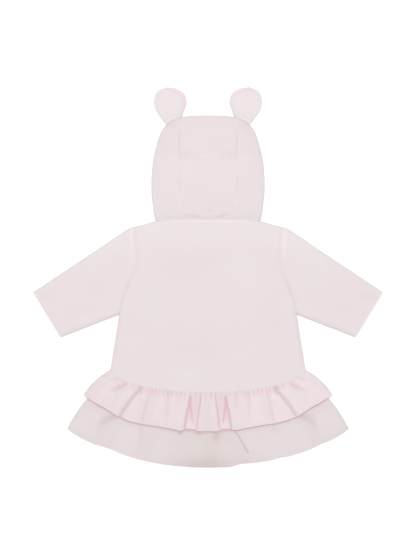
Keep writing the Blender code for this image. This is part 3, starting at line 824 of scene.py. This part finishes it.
def hoodTopStrip(u, v):
    # up over the hood's height to the crown, a quarter circle over its edge and back along the
    # floor to the forehead
    x = mix(-hood["stripHalf"], hood["stripHalf"], u)
    crown, roll, floor = crownLine(x), hood["roll"], cloth["floor"]
    radius = roll - floor
    over, turn = hoodStrips["over"], hoodStrips["turn"]
    out, angle, under = overEdge(v, over, turn)
    y = np.select([v <= over, v <= over + turn],
                  [mix(hood["crossSeam"], crown, out), crown - radius * (1 - np.cos(angle))],
                  mix(crown - radius, hood["forehead"], under))
    z = np.select([v < over, v <= over + turn],
                  [hoodHeight(x, y), roll - radius * np.sin(angle)], floor)
    # the turn and the ply below get painted crease shade and painted shade
    marks = np.where((v <= over)[..., None], hoodMarks(x, y), 0.2)
    return laid(x, y, z, marks)


layCloth(dict(hoodStrips, name="hood_strip_back", node="hood_back_strip", flat=(0.095, 0.100),
              area=0.0093, rows=76), hoodBackStrip)
layCloth(dict(hoodStrips, name="hood_strip_top", node="hood_top_strip", flat=(0.095, 0.150),
              area=0.0139, rows=104), hoodTopStrip)
print("hood laid")

# Ears
ear = dict(
    tone="ear", slot="ear_cloth", flat=(0.054, 0.060), area=0.0023, held="laid", restsOn=[],
    columns=48, rows=60,
    root=(42.0, 66.5), seat=-0.6,
    # the two sides of an ear run from its root to its tip
    inner=[(38.3, 266.0), (34.3, 279.0), (38.2, 292.5), (50.0, 300.8), (66.0, 303.7)],
    outer=[(75.0, 254.0), (83.2, 267.0), (86.2, 281.0), (81.8, 295.5), (66.0, 303.7)],
    last=0.995, foot=0.25,
    plump=3.4, rim=12.0, pucker=0.2,
    # pressed lines across the top, where the turned-in edges end inside, drawn as painted crease shade
    creases=[
        Fold([(79.0, 296.5), (73.3, 299.6), (64.4, 299.4), (50.1, 297.0), (40.5, 292.0)],
             0.34, 1.0, 1.2, 1.0, 0.2, 0.3),
        Fold([(79.5, 290.0), (75.0, 295.2), (63.0, 295.6), (50.1, 293.0), (39.5, 288.6)],
             0.3, 1.1, 1.1, 1.0, 0.2, 0.3),
    ],
)
hoodTop = hoodEdge[hoodEdge[:, 1] > 200.0][::-1]      # the hood's edge from the crown outwards


def earPlan(u, v):
    # across between the two sides, with rows that straighten from the hood's curved edge;
    # the third value is how far the place lies inside the ear's edge
    low, high = ear["root"]
    lowY, highY = np.interp((low, high), hoodTop[:, 0], hoodTop[:, 1]) + ear["seat"]
    innerX, innerY = curveThrough([(low, lowY)] + ear["inner"], v * ear["last"])
    outerX, outerY = curveThrough([(high, highY)] + ear["outer"], v * ear["last"])
    rootX = mix(low, high, u)
    bow = np.interp(rootX, hoodTop[:, 0], hoodTop[:, 1]) + ear["seat"] - mix(lowY, highY, u)
    x = mix(innerX, outerX, u)
    y = mix(innerY, outerY, u) + bow * (1 - smooth(v / ear["foot"]))
    across = np.hypot(outerX - innerX, outerY - innerY) / 2 * (1 - np.abs(2 * u - 1))
    return x, y, np.minimum(across, (ear["outer"][-1][1] - lowY) * (1 - v))


def earPly(side, upper):
    def place(u, v):
        # the upper ply: a plump hump from the rim inwards, puckered at its seam, with a ridge over
        # the turned-in edges, sinking at the root; the lower one lies flat on the floor
        x, y, rim = earPlan(u, v)
        low = cloth["low"]
        turned = np.arctan2(y - 278.0, x - 60.0)
        pucker = ear["pucker"] * np.sin(26 * turned + 2 * np.sin(3 * turned)) * bell(rim - 2.0, 2.0)
        pressed = 0.4 * bell(rim - 4.2, 1.3)
        z = low + ear["plump"] * hump(rim / ear["rim"]) + pucker + pressed \
            + 0.35 * ripple(x, y, 9.0, side) * smooth(rim / 6.0)
        z -= 1.4 * (1 - smooth(v / 0.3))
        z = np.maximum(z, low) if upper else np.full(x.shape, cloth["floor"])
        # painted shade on the rim, in the pucker troughs and along the pressed lines, a painted
        # highlight inside the rim and at the root, and a little darker towards the inner side
        besideTop = smooth((y - 262.0) / 16.0) * smooth((296.0 - y) / 8.0)
        crease = 0.4 * bell(rim, 1.1) + 0.08 * pucker / ear["pucker"] \
            + 0.24 * besideTop * bell(rim - 5.2 - 0.8 * np.sin(3 * turned), 0.9) \
            + foldHeight(ear["creases"], x, y)
        shade = -0.12 * bell(rim - 2.6, 1.2) + 0.05 * smooth((52.0 - x) / 16.0) \
            - 0.5 * (1 - smooth(v / 0.07))
        return laid(side * x, y, z, marked(crease, shade))
    return place


for word, side in sides:
    for ply, upper in (("back", True), ("front", False)):
        piece = dict(ear, name=f"ear_{word}_{ply}_ply", node=f"ear_{word}_{ply}")
        layCloth(piece, earPly(side, upper))
print("ears laid")

# Upper tier: gathered into the seam, with two deep folds beside the middle
upperTier = dict(
    name="tier_upper_back_cloth", node="upper_tier_back", tone="upper", slot="tier_cloth",
    flat=(0.50, 0.062), area=0.0300, held="gathered", restsOn=["tier_lower_back_cloth"],
    columns=560, rows=48, fullness=1.3,
    lift=0.7,           # how far it stands off the tier below
    # where its hem lies: x and y along it, from left to right
    hem=[(-199.4, -188.5), (-182.4, -199.8), (-163.2, -210.2), (-144.0, -222.6), (-124.8, -230.3),
         (-105.6, -235.0), (-86.4, -237.4), (-57.6, -242.7), (-44.0, -245.6), (-37.0, -244.0),
         (-12.0, -246.5), (12.0, -246.5), (37.0, -244.0), (46.0, -244.6), (57.6, -241.8),
         (86.4, -236.5), (105.6, -234.0), (124.8, -229.4), (144.0, -222.1), (163.2, -209.3),
         (182.4, -198.7), (199.4, -188.5)],
    panels=[            # sunk panels: the lines of their two edges, and how far they lie below
        dict(left=[(-28.2, -184.0), (-29.0, -196.0), (-33.2, -214.0), (-37.8, -240.0), (-39, -249)],
             right=[(-11.2, -184.0), (-11.8, -199.0), (-14.8, -217.0), (-18.3, -240.0), (-19, -249)],
             depth=1.3, edge=1.6, top=-187.0),
        dict(left=[(11.2, -184.0), (12.6, -200.0), (15.2, -217.0), (18.6, -240.0), (19.4, -249)],
             right=[(28.0, -184.0), (29.0, -196.0), (33.4, -214.0), (37.6, -241.0), (38.8, -249)],
             depth=1.3, edge=1.6, top=-187.0),
    ],
    folds=[
        # lines run from the seam down to the hem
        Fold([(-107, -179), (-120.5, -192.2), (-127.5, -202.4), (-136, -212.5), (-141, -221)], -2.4,
             3.0, 1.8, 1.5, 0.0, 0.0),
        Fold([(106, -178), (113.4, -186.5), (120, -193.2), (127, -201.5), (133, -208.5), (140, -219)],
             -2.4, 1.7, 3.2, 1.4, 0.0, 0.0),
        Fold([(-128.8, -169), (-138, -174.5), (-149, -179.5), (-166, -184)], -1.1, 2.8, 3.6, 1.6,
             0.1, 0.5),
        Fold([(130, -170), (139, -174.5), (154, -181), (172, -186.5)], -0.9, 3.6, 3.0, 1.5, 0.1, 0.5),
        Fold([(-89, -181), (-95, -191), (-99, -203), (-103.5, -222), (-106.4, -236)], -0.5, 1.6, 2.6,
             1.2, 0.0, 0.1),
        Fold([(-64.7, -184), (-64.7, -199), (-66.2, -232)], -0.55, 1.8, 4.2, 1.1, 0.0, 0.3),
        Fold([(64.0, -182), (65.6, -200), (67.4, -232)], -0.55, 4.2, 1.8, 1.1, 0.0, 0.3),
        Fold([(43.8, -186), (45.5, -214)], -0.6, 1.6, 2.2, 1.4, 0.0, 0.4),
        Fold([(96, -184), (99, -202), (103.4, -223), (104.5, -234)], -0.55, 2.6, 1.8, 1.2, 0.0, 0.1),
        Fold([(-78, -190), (-84, -232)], -0.35, 9.0, 7.0, 1.3, 0.2, 0.3),
        Fold([(-48, -188), (-51, -216)], -0.5, 2.2, 2.6, 1.5, 0.1, 0.4),
        Fold([(80, -190), (86, -232)], -0.35, 7.0, 9.0, 1.3, 0.2, 0.3),
        # the rounded lobes between them
        Fold([(-148, -168), (-163, -190), (-172, -208)], 1.3, 7, 7, 1.5, 0.2, 0.0),
        Fold([(-117, -178), (-130, -194), (-150, -222)], 0.8, 6, 6, 1.5, 0.2, 0.0),
        Fold([(-101, -186), (-115, -208), (-123, -232)], 1.2, 6, 6, 1.5, 0.2, 0.0),
        Fold([(-76, -188), (-79, -215), (-82, -242)], 1.1, 7, 7, 1.3, 0.2, 0.0),
        Fold([(-54, -188), (-55, -215), (-56, -246)], 1.0, 6, 6, 1.3, 0.2, 0.0),
        Fold([(-32, -190), (-38, -215), (-44, -246)], 1.2, 4.5, 2.6, 1.2, 0.1, 0.0),
        Fold([(-8, -190), (-9, -215), (-13, -247)], 1.0, 2.6, 4.5, 1.2, 0.1, 0.0),
        Fold([(8, -190), (10, -215), (13, -247)], 1.0, 4.5, 2.6, 1.2, 0.1, 0.0),
        Fold([(32, -190), (38, -215), (44, -245)], 1.2, 2.6, 4.5, 1.2, 0.1, 0.0),
        Fold([(54, -188), (56, -215), (58, -245)], 1.0, 6, 6, 1.3, 0.2, 0.0),
        Fold([(76, -188), (79, -215), (82, -242)], 1.1, 7, 7, 1.3, 0.2, 0.0),
        Fold([(101, -186), (114, -208), (122, -234)], 1.2, 6, 6, 1.5, 0.2, 0.0),
        Fold([(117, -178), (131, -194), (150, -220)], 0.9, 6, 6, 1.5, 0.2, 0.0),
        Fold([(149, -168), (163, -190), (172, -206)], 1.3, 7, 7, 1.5, 0.2, 0.0),
    ],
    # pressed lines drawn as painted crease shade, its depth in place of a height: the outer edges of the
    # sunk panels, then the rest
    panelEdges=[
        Fold([(-28.4, -188), (-29, -197), (-33.4, -214), (-38.2, -242)], 0.8, 1.2, 2.0, 1.0, 0.1, 0),
        Fold([(28.2, -188), (29, -197), (33.4, -214), (38, -242)], 0.8, 2.0, 1.2, 1.0, 0.1, 0),
    ],
    creases=[
        Fold([(-28.6, -192), (-26.4, -214), (-22.4, -237)], 0.75, 3.8, 1.5, 0.4, 0.1, 0.2),
        Fold([(-11.2, -184), (-11.8, -199), (-14.8, -217), (-18.3, -242)], 0.9, 1.3, 1.1, 1.0, 0.2, 0),
        Fold([(11.2, -184), (12.6, -200), (15.2, -217), (18.6, -242)], 0.9, 1.1, 1.3, 1.0, 0.2, 0),
        Fold([(28.2, -192), (26.2, -214), (22.4, -237)], 0.75, 1.5, 3.8, 0.4, 0.1, 0.2),
        Fold([(-28.4, -190), (-28.8, -196)], 0.9, 2.0, 2.0, 1.0, 0.3, 0.3),
        Fold([(28.2, -190), (28.6, -196)], 0.9, 2.0, 2.0, 1.0, 0.3, 0.3),
        Fold([(-107, -173), (-108.5, -182)], 0.7, 1.8, 1.8, 1.0, 0.3, 0.3),
        Fold([(108, -172), (110, -181)], 0.6, 1.8, 1.8, 1.0, 0.3, 0.3),
        Fold([(-130, -170), (-138, -174.5), (-149, -179.5), (-162, -183)], 0.3, 2.2, 2.8, 1.4, 0.1, 0.6),
        Fold([(130, -170), (139, -174.5), (154, -181), (168, -185)], 0.24, 3.0, 2.6, 1.4, 0.1, 0.6),
        Fold([(-139, -160), (-146, -162), (-155, -165)], 0.3, 1.8, 1.8, 1.2, 0.3, 0.5),
        Fold([(142, -160), (149, -162), (158, -166)], 0.25, 1.8, 1.8, 1.2, 0.3, 0.5),
        Fold([(-154, -155), (-161, -157.5), (-169, -160)], 0.3, 1.8, 1.8, 1.2, 0.3, 0.5),
        Fold([(-95, -191), (-99, -203), (-103.5, -222), (-106.4, -236)], 0.22, 1.3, 1.5, 1.0, 0.2, 0),
        Fold([(97, -190), (100, -204), (103.4, -222), (104.5, -236)], 0.2, 1.5, 1.3, 1.0, 0.2, 0),
    ],
)


def sunkPanels(x, y):
    # 1 inside a sunk panel and 0 outside, with steep edges
    share = np.zeros(np.shape(x))
    for panel in upperTier["panels"]:
        left, right = np.array(panel["left"]), np.array(panel["right"])
        fromLeft = x - np.interp(-y, -left[:, 1], left[:, 0])
        fromRight = np.interp(-y, -right[:, 1], right[:, 0]) - x
        inside = smooth(fromLeft / panel["edge"]) * smooth(fromRight / panel["edge"])
        share += inside * smooth((panel["top"] - y) / 10.0)
    return share


def tierUpperBack(u, v):
    # height = rise from the folded sides + (lift + folds - sunk panels, kept above the tier below
    # by a smooth maximum, and the gathers), with a stitched line above the hem; y follows the
    # hem's own curve near the bottom
    x, y = upperPlan(2 * u - 1, v)
    inside = lineField(sideFold, np.abs(x), y)[0]
    below, hem = v * outline["upperLength"], (1 - v) * outline["upperLength"]
    sunk, folds = sunkPanels(x, y), foldHeight(upperTier["folds"], x, y)
    drawn = gatherHeight(x, below)
    # troughs flatten out where the cloth meets the tier below it
    waves = upperTier["lift"] + upperTier["fullness"] * folds \
        - upperTier["panels"][0]["depth"] * sunk
    waves = softMaximum(waves, 0.8) - 0.4
    rolled = smooth((inside - 2.0) / 14.0)
    near = bell(hem, 7.0)        # the cloth settles on the tier below at its hem
    z = risen(inside) - 0.1 * bell(below, 1.4) \
        + (waves * mix(0.35, 1.0, smooth(v / 0.3)) * (1 - 0.45 * near) + drawn) * rolled
    z += 0.15 * smooth((3.2 - hem) / 1.0) - 0.1 * bell(hem - 3.6, 0.7)
    z = np.maximum(z, cloth["low"])
    y = y + (lineAt(upperTier["hem"], x) - upperHem(np.abs(x) / outline["upperEnd"][0])) * v ** 2
    y = y + 2.2 * sunk * v ** 3
    # painted shade in the sunk panels, fold troughs, gathers, pressed lines, at the seam, the hem's edge
    # and the folded sides, painted highlights on fold ridges, low in the panels, between the gathers and
    # just above the hem; outside the panels the tone is a little darker, more in the middle, and lighter
    # to the right
    edges = foldHeight(upperTier["panelEdges"], x, y)
    crease = sunk * mix(0.22, 0.08, smooth((v - 0.45) / 0.4)) + np.clip(-folds / 8.0, 0.0, 0.5) \
        + np.clip(-drawn / 2.6, 0.0, 0.5) \
        + edges + foldHeight(upperTier["creases"], x, y) + 0.12 * bell(below, 8.0) \
        + 0.3 * bell(hem, 0.7) - 0.2 * bell(hem - 3.0, 1.0)
    shade = np.clip(-folds / 3.0, -0.12, 0.8) + 0.6 * edges + 0.3 * edgeShade(inside) \
        - 0.15 * sunk * smooth((v - 0.7) / 0.2) - 0.4 * np.clip(drawn, 0.0, 1.0) \
        + (1 - sunk) * (0.07 + 0.04 * bell(x, 14.0) - 0.13 * smooth((x - 50.0) / 20.0))
    return laid(x, y, z, marked(crease, shade), pull=1.3)


upperFront = dict(
    tone="upper", slot="tier_cloth", flat=(0.25, 0.062), area=0.0145, held="gathered", restsOn=[],
    columns=110, rows=24,
)


def tierUpperFront(side):
    def place(u, v):
        # flat on the floor, with low puffs where it is gathered
        x, y = upperPlan(u, v)
        x = side * np.maximum(x, cloth["meeting"])
        drawn = np.clip(gatherHeight(-x, 0.6 * v * outline["upperLength"]), -1.6, 0.0)
        z = cloth["floor"] - 0.3 * drawn
        # painted crease shade in the gathers' troughs
        return laid(x, y, z, marked(-drawn / 2.0), pull=1.3)
    return place


layCloth(upperTier, tierUpperBack)
layPair(upperFront, "tier_upper_front_{}_cloth", "upper_tier_front_{}", tierUpperFront)

# Lower tier: flatter, showing below the upper one
lowerTier = dict(
    name="tier_lower_back_cloth", node="lower_tier_back", tone="lower", slot="tier_cloth",
    flat=(0.50, 0.125), area=0.0490, held="gathered", restsOn=["tier_lower_front_left_cloth"],
    columns=300, rows=84, length=120.0,
    inner=4.1, outer=2.2, settle=(0.60, 0.40),
    dents=0.35,
    # how far its hem lies above an even curve: x and the height
    trim=[(-225, 0), (-181, 0.8), (-173, 2.4), (-157, 3.6), (-141, 2.2), (-125, 0.6), (-100, 0),
          (36, 0), (51, 3.2), (67, 2.4), (83, 1.6), (99, 1.0), (115, 2.0), (131, 0.4), (165, 0.3),
          (179, 1.8), (195, 0.3), (225, 0)],
    diagonal=[Fold([(40, -243), (47.8, -252.6), (56, -267), (66.5, -286)], -1.7, 1.0, 2.0, 0.8,
                   0.0, 0.2)],
    folds=[
        Fold([(50, -246), (60, -260), (76, -284)], 1.2, 5, 9, 1.2, 0.0, 0.2),
        Fold([(-136, -220), (-150, -223), (-162, -228), (-172, -238), (-178, -258)],
             -0.8, 7, 6, 1.1, 0.2, 0.7),
        Fold([(-186, -212), (-194, -232), (-204, -252)], 1.6, 9, 10, 1.2, 0.2, 0.2),
        Fold([(134, -219), (148, -222), (160, -226), (170, -236), (176, -256)],
             -0.8, 6, 7, 1.1, 0.2, 0.7),
        Fold([(184, -212), (192, -232), (201, -252)], 1.6, 10, 9, 1.2, 0.2, 0.2),
        Fold([(-107, -236), (-107, -254), (-105, -276)], -0.3, 3, 4, 1.4, 0.0, 0.6),
        Fold([(105, -236), (107, -254), (108, -274)], -0.3, 4, 3, 1.4, 0.0, 0.6),
        Fold([(-43.5, -243), (-44, -254)], -1.3, 2.4, 2.4, 1.2, 0.0, 0.5),
        Fold([(-14, -246), (-13, -254)], -1.0, 3.6, 2.4, 1.4, 0.0, 0.5),
        Fold([(14, -245), (12, -256), (9, -268)], -0.7, 4.0, 5.0, 1.6, 0.0, 0.6),
        Fold([(-60, -248), (-66, -272), (-72, -298)], 0.8, 10, 12, 1.2, 0.2, 0.0),
        Fold([(-20, -256), (-24, -280), (-26, -302)], 0.6, 12, 12, 1.2, 0.2, 0.0),
        Fold([(28, -262), (30, -282), (32, -302)], 0.8, 8, 10, 1.2, 0.2, 0.0),
        Fold([(96, -246), (104, -270), (112, -292)], 0.7, 10, 10, 1.2, 0.2, 0.0),
        Fold([(-120, -240), (-130, -262), (-141, -282)], 0.8, 9, 10, 1.2, 0.2, 0.0),
        Fold([(128, -238), (140, -258), (151, -278)], 0.8, 10, 9, 1.2, 0.2, 0.0),
    ],
)


def lowerEdgeDistance(x, y):
    # distance inside the lower tier's sides
    edge = lowerPlan(np.ones(25), steps(24))
    return lineField(np.stack(edge, axis=-1), np.abs(x), y)[0]


def tierLowerBack(u, v):
    # height = level below the upper tier, then settling to a low hump from its sides with folds
    # and ripple on it, kept above the front ply by a smooth maximum; y follows the hem's trim
    x, y = lowerPlan(2 * u - 1, v)
    begin, length = lowerTier["settle"]
    free = smooth((v - begin) / length)
    side = lowerEdgeDistance(x, y)
    y = y + lineAt(lowerTier["trim"], x) * v ** 3
    diagonal = foldHeight(lowerTier["diagonal"], x, y)
    folds = diagonal + foldHeight(lowerTier["folds"], x, y)
    waves = folds + lowerTier["dents"] * (1 + ripple(x, y, 22.0, 5.0)) + 0.4
    waves = softMaximum(waves, 0.3)
    rolled = hump(side / 9.0)
    low = cloth["low"]
    z = mix(lowerTier["inner"], low + (lowerTier["outer"] - low + waves) * rolled, free)
    shown = lineAt(upperTier["hem"], x) - y         # how far past the upper tier's hem
    hem = (1 - v) * lowerTier["length"]
    z += 0.1 * smooth((3.4 - hem) / 1.0) - 0.1 * bell(hem - 3.8, 0.8)
    # painted shadow: a dark line just below the upper tier's hem and a softer band below it; painted
    # shade at the hem's edge, the stitched line, the diagonal fold, in fold troughs and at the sides, a
    # little painted highlight on ridges, and painted shade in the middle, more towards the hem
    crease = 1.2 * bell(shown - 0.7, 1.3) + 0.35 * bell(hem, 1.1) + 0.08 * bell(hem - 3.8, 0.8) \
        + 0.25 * np.clip(-diagonal, 0.0, 1.4)
    middle = bell(x + 6.0, 60.0)
    shade = np.clip(-0.75 * folds, -0.1, 1.0) + 0.3 * edgeShade(side) \
        + 0.35 * bell(np.maximum(shown, 0.0), 4.0) \
        + middle * (0.24 + 0.6 * smooth((-y - 276.0) / 30.0))
    return laid(x, y, z, marked(crease, shade), pull=1.15)


lowerFront = dict(
    tone="lower", slot="tier_cloth", flat=(0.25, 0.125), area=0.0240, held="gathered", restsOn=[],
    columns=96, rows=44,
)


def tierLowerFront(side):
    def place(u, v):
        # raised below the upper tier, then a soft step down to the floor
        x, y = lowerPlan(u, v)
        x = side * np.maximum(x, cloth["meeting"])
        y = y + lineAt(lowerTier["trim"], x) * v ** 3
        drop = 1 - smooth((v - 0.56) / 0.2)
        z = cloth["floor"] + 1.5 * drop
        # painted crease shade where it lies raised below the upper tier
        return laid(x, y, z, marked(0.2 * drop), pull=1.15)
    return place


layCloth(lowerTier, tierLowerBack)
layPair(lowerFront, "tier_lower_front_{}_cloth", "lower_tier_front_{}", tierLowerFront)
print("tiers laid")

# Stitching: short threads that follow the cloth
stitch = dict(
    length=2.5, pitch=3.3, radius=0.24, rings=5, sides=6,
    sunk=0.12, raised=0.24,         # its ends below the face of the cloth, its middle above them
    cuffRow=1 - 9.5 / 180.0, upperHemRow=0.958, lowerHemRow=0.972,      # shares of the rows
    armholeColumn=0.4865, armholeRows=(0.02, 0.585),
)


def stitchRow(place, pathU, pathV, facing=1):
    # centres are taken along the path at even lengths on the cloth; each stitch is a small tube,
    # thickest and highest at its middle, its ends sunk in the cloth
    t = np.linspace(0.0, 1.0, 600)
    u, v = np.broadcast_to(pathU(t), t.shape), np.broadcast_to(pathV(t), t.shape)
    line = place(u[None], v[None])[0][0]
    run = np.concatenate(([0.0], np.cumsum(np.linalg.norm(np.diff(line, axis=0), axis=1))))
    count = int(run[-1] // stitch["pitch"])
    first = (run[-1] - (count - 1) * stitch["pitch"]) / 2
    along = first + stitch["pitch"] * np.arange(count)[:, None] \
        + stitch["length"] * (np.linspace(0, 1, stitch["rings"]) - 0.5)[None]
    share = np.interp(along, run, t)
    uu, vv = np.interp(share, t, u), np.interp(share, t, v)
    step = 0.002
    middle = place(uu, vv)[0]
    byU = place(uu + step, vv)[0] - place(uu - step, vv)[0]
    byV = place(uu, vv + step)[0] - place(uu, vv - step)[0]
    normal = np.cross(byU, byV)
    normal /= np.linalg.norm(normal, axis=-1, keepdims=True)
    normal *= np.where(np.sign(normal[..., 2:]) == facing, 1.0, -1.0)
    forward = np.gradient(middle, axis=1)
    forward /= np.linalg.norm(forward, axis=-1, keepdims=True)
    aside = np.cross(normal, forward)
    bow = np.sin(np.pi * np.linspace(0.04, 0.96, stitch["rings"]))[None, :, None]
    centre = middle + normal * (cloth["wall"] / 2 - stitch["sunk"] + stitch["raised"] * bow)
    turn = 2 * np.pi * np.arange(stitch["sides"]) / stitch["sides"]
    radius = stitch["radius"] * bow ** 0.5
    ring = centre[:, :, None] + radius[..., None] * (
        np.cos(turn)[:, None] * aside[:, :, None] + np.sin(turn)[:, None] * normal[:, :, None])
    return ring


def sewStitches(name, rows):
    rings = np.concatenate(rows)
    count, ringCount, corners = rings.shape[:3]
    index = np.arange(count * ringCount * corners).reshape(count, ringCount, corners)
    after = np.roll(index, -1, axis=2)
    quads = np.stack((index[:, :-1], after[:, :-1], after[:, 1:], index[:, 1:]), axis=-1)
    caps = np.concatenate((index[:, :1, ::-1], index[:, -1:]), axis=1).reshape(-1, corners)
    mesh = bpy.data.meshes.new(name)
    mesh.from_pydata((rings.reshape(-1, 3) * mm).tolist(), [],
                     quads.reshape(-1, 4).tolist() + caps.tolist())
    mesh.shade_smooth()
    mesh.materials.append(materials["thread"])
    obj = newObject(name, mesh)
    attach(obj, "root")
    print(name, "has", count, "stitches")
    return obj


def level(value):
    return lambda t: np.full(np.shape(t), value)


def span(start, end):
    return lambda t: mix(start, end, t)


sewStitches("stitches_cuffs", [
    stitchRow(sleeveTube(side), span(sleeve["topTurn"] + 0.002, sleeve["overEnd"] - 0.002),
              level(stitch["cuffRow"])) for _, side in sides])
sewStitches("stitches_hems", [
    stitchRow(tierUpperBack, span(0.01, 0.99), level(stitch["upperHemRow"])),
    stitchRow(tierLowerBack, span(0.01, 0.99), level(stitch["lowerHemRow"]))])
sewStitches("stitches_armholes", [
    stitchRow(backPanel, level(0.5 + stitch["armholeColumn"] * side), span(*stitch["armholeRows"]))
    for _, side in sides])

# Press studs: the solids stay, with a moulded finish
stud = dict(colour=(0.82, 0.76, 0.765), roughness=0.34, cloudScale=260.0)


def studMaterial():
    # satin plastic, its tone, gloss and height slightly cloudy from moulding
    material, shader, start = startMaterial("stud_plastic")
    place = start.node("ShaderNodeTexCoord", output="Object")
    cloudy = start.node("ShaderNodeTexNoise", None,
                        {"Vector": place, "Scale": stud["cloudScale"], "Detail": 3.0})
    base = cloudy.mixed((*stud["colour"], 1.0), (*[0.93 * c for c in stud["colour"]], 1.0))
    bump = start.node("ShaderNodeBump", None, {"Strength": 0.4, "Distance": 0.1 * mm, "Height": cloudy})
    start.feed(shader, {"Base Color": base, "Roughness": stud["roughness"] + cloudy * 0.12,
                        "Normal": bump, "Coat Weight": 0.15})
    return material


studPlastic = studMaterial()
for name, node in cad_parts.items():
    if name.startswith("press_stud"):
        node.data.materials.clear()
        node.data.materials.append(studPlastic)
print("studs finished")

# Room: a pale floor, a soft light from above and beyond the hood, and a white surround
room = dict(
    floor=0.955, glow=0.2, floorHalf=30.0, floorDrop=0.3 * mm,
    surround=0.775, lightPower=24.0, lightSize=1.6,
    lightPlace=(-0.1, 0.55, 2.45),
    pixel=1.6 * mm, tall=555, lens=100.0, sensor=36.0, middle=(0.0, -0.0008),
)
white = (1.0, 1.0, 1.0, 1.0)


def layFloor():
    mesh = bpy.data.meshes.new("floor")
    half = room["floorHalf"]
    mesh.from_pydata([(-half, -half, 0), (half, -half, 0), (half, half, 0), (-half, half, 0)], [],
                     [(0, 1, 2, 3)])
    floor = newObject("floor", mesh)
    floor.location.z = -room["floorDrop"]
    material, shader, start = startMaterial("floor_white")
    start.feed(shader, {
        "Base Color": (room["floor"], room["floor"], room["floor"], 1.0), "Roughness": 0.9,
        "Specular IOR Level": 0.1, "Emission Color": white, "Emission Strength": room["glow"]})
    mesh.materials.append(material)


def lightRoom():
    world = bpy.data.worlds.new("surround")
    world.use_nodes = True
    tree = world.node_tree
    Wire(tree).feed(tree.nodes["Background"], {"Color": white, "Strength": room["surround"]})
    bpy.context.scene.world = world
    light = bpy.data.lights.new("window", "AREA")
    light.energy = room["lightPower"]
    light.size = room["lightSize"]
    lamp = newObject("window", light)
    lamp.location = room["lightPlace"]
    toward = -lamp.location
    lamp.rotation_euler = toward.to_track_quat("-Z", "Y").to_euler()


def setCamera():
    # straight above the jacket, at the distance that makes a pixel of the photo 1.6 mm
    lens = bpy.data.cameras.new("camera")
    lens.lens, lens.sensor_width = room["lens"], room["sensor"]
    camera = newObject("camera", lens)
    distance = room["tall"] * room["pixel"] * room["lens"] / room["sensor"]
    camera.location = (*room["middle"], distance)
    bpy.context.scene.camera = camera
    bpy.context.scene.view_settings.view_transform = "Standard"


layFloor()
lightRoom()
setCamera()
print("room lit")
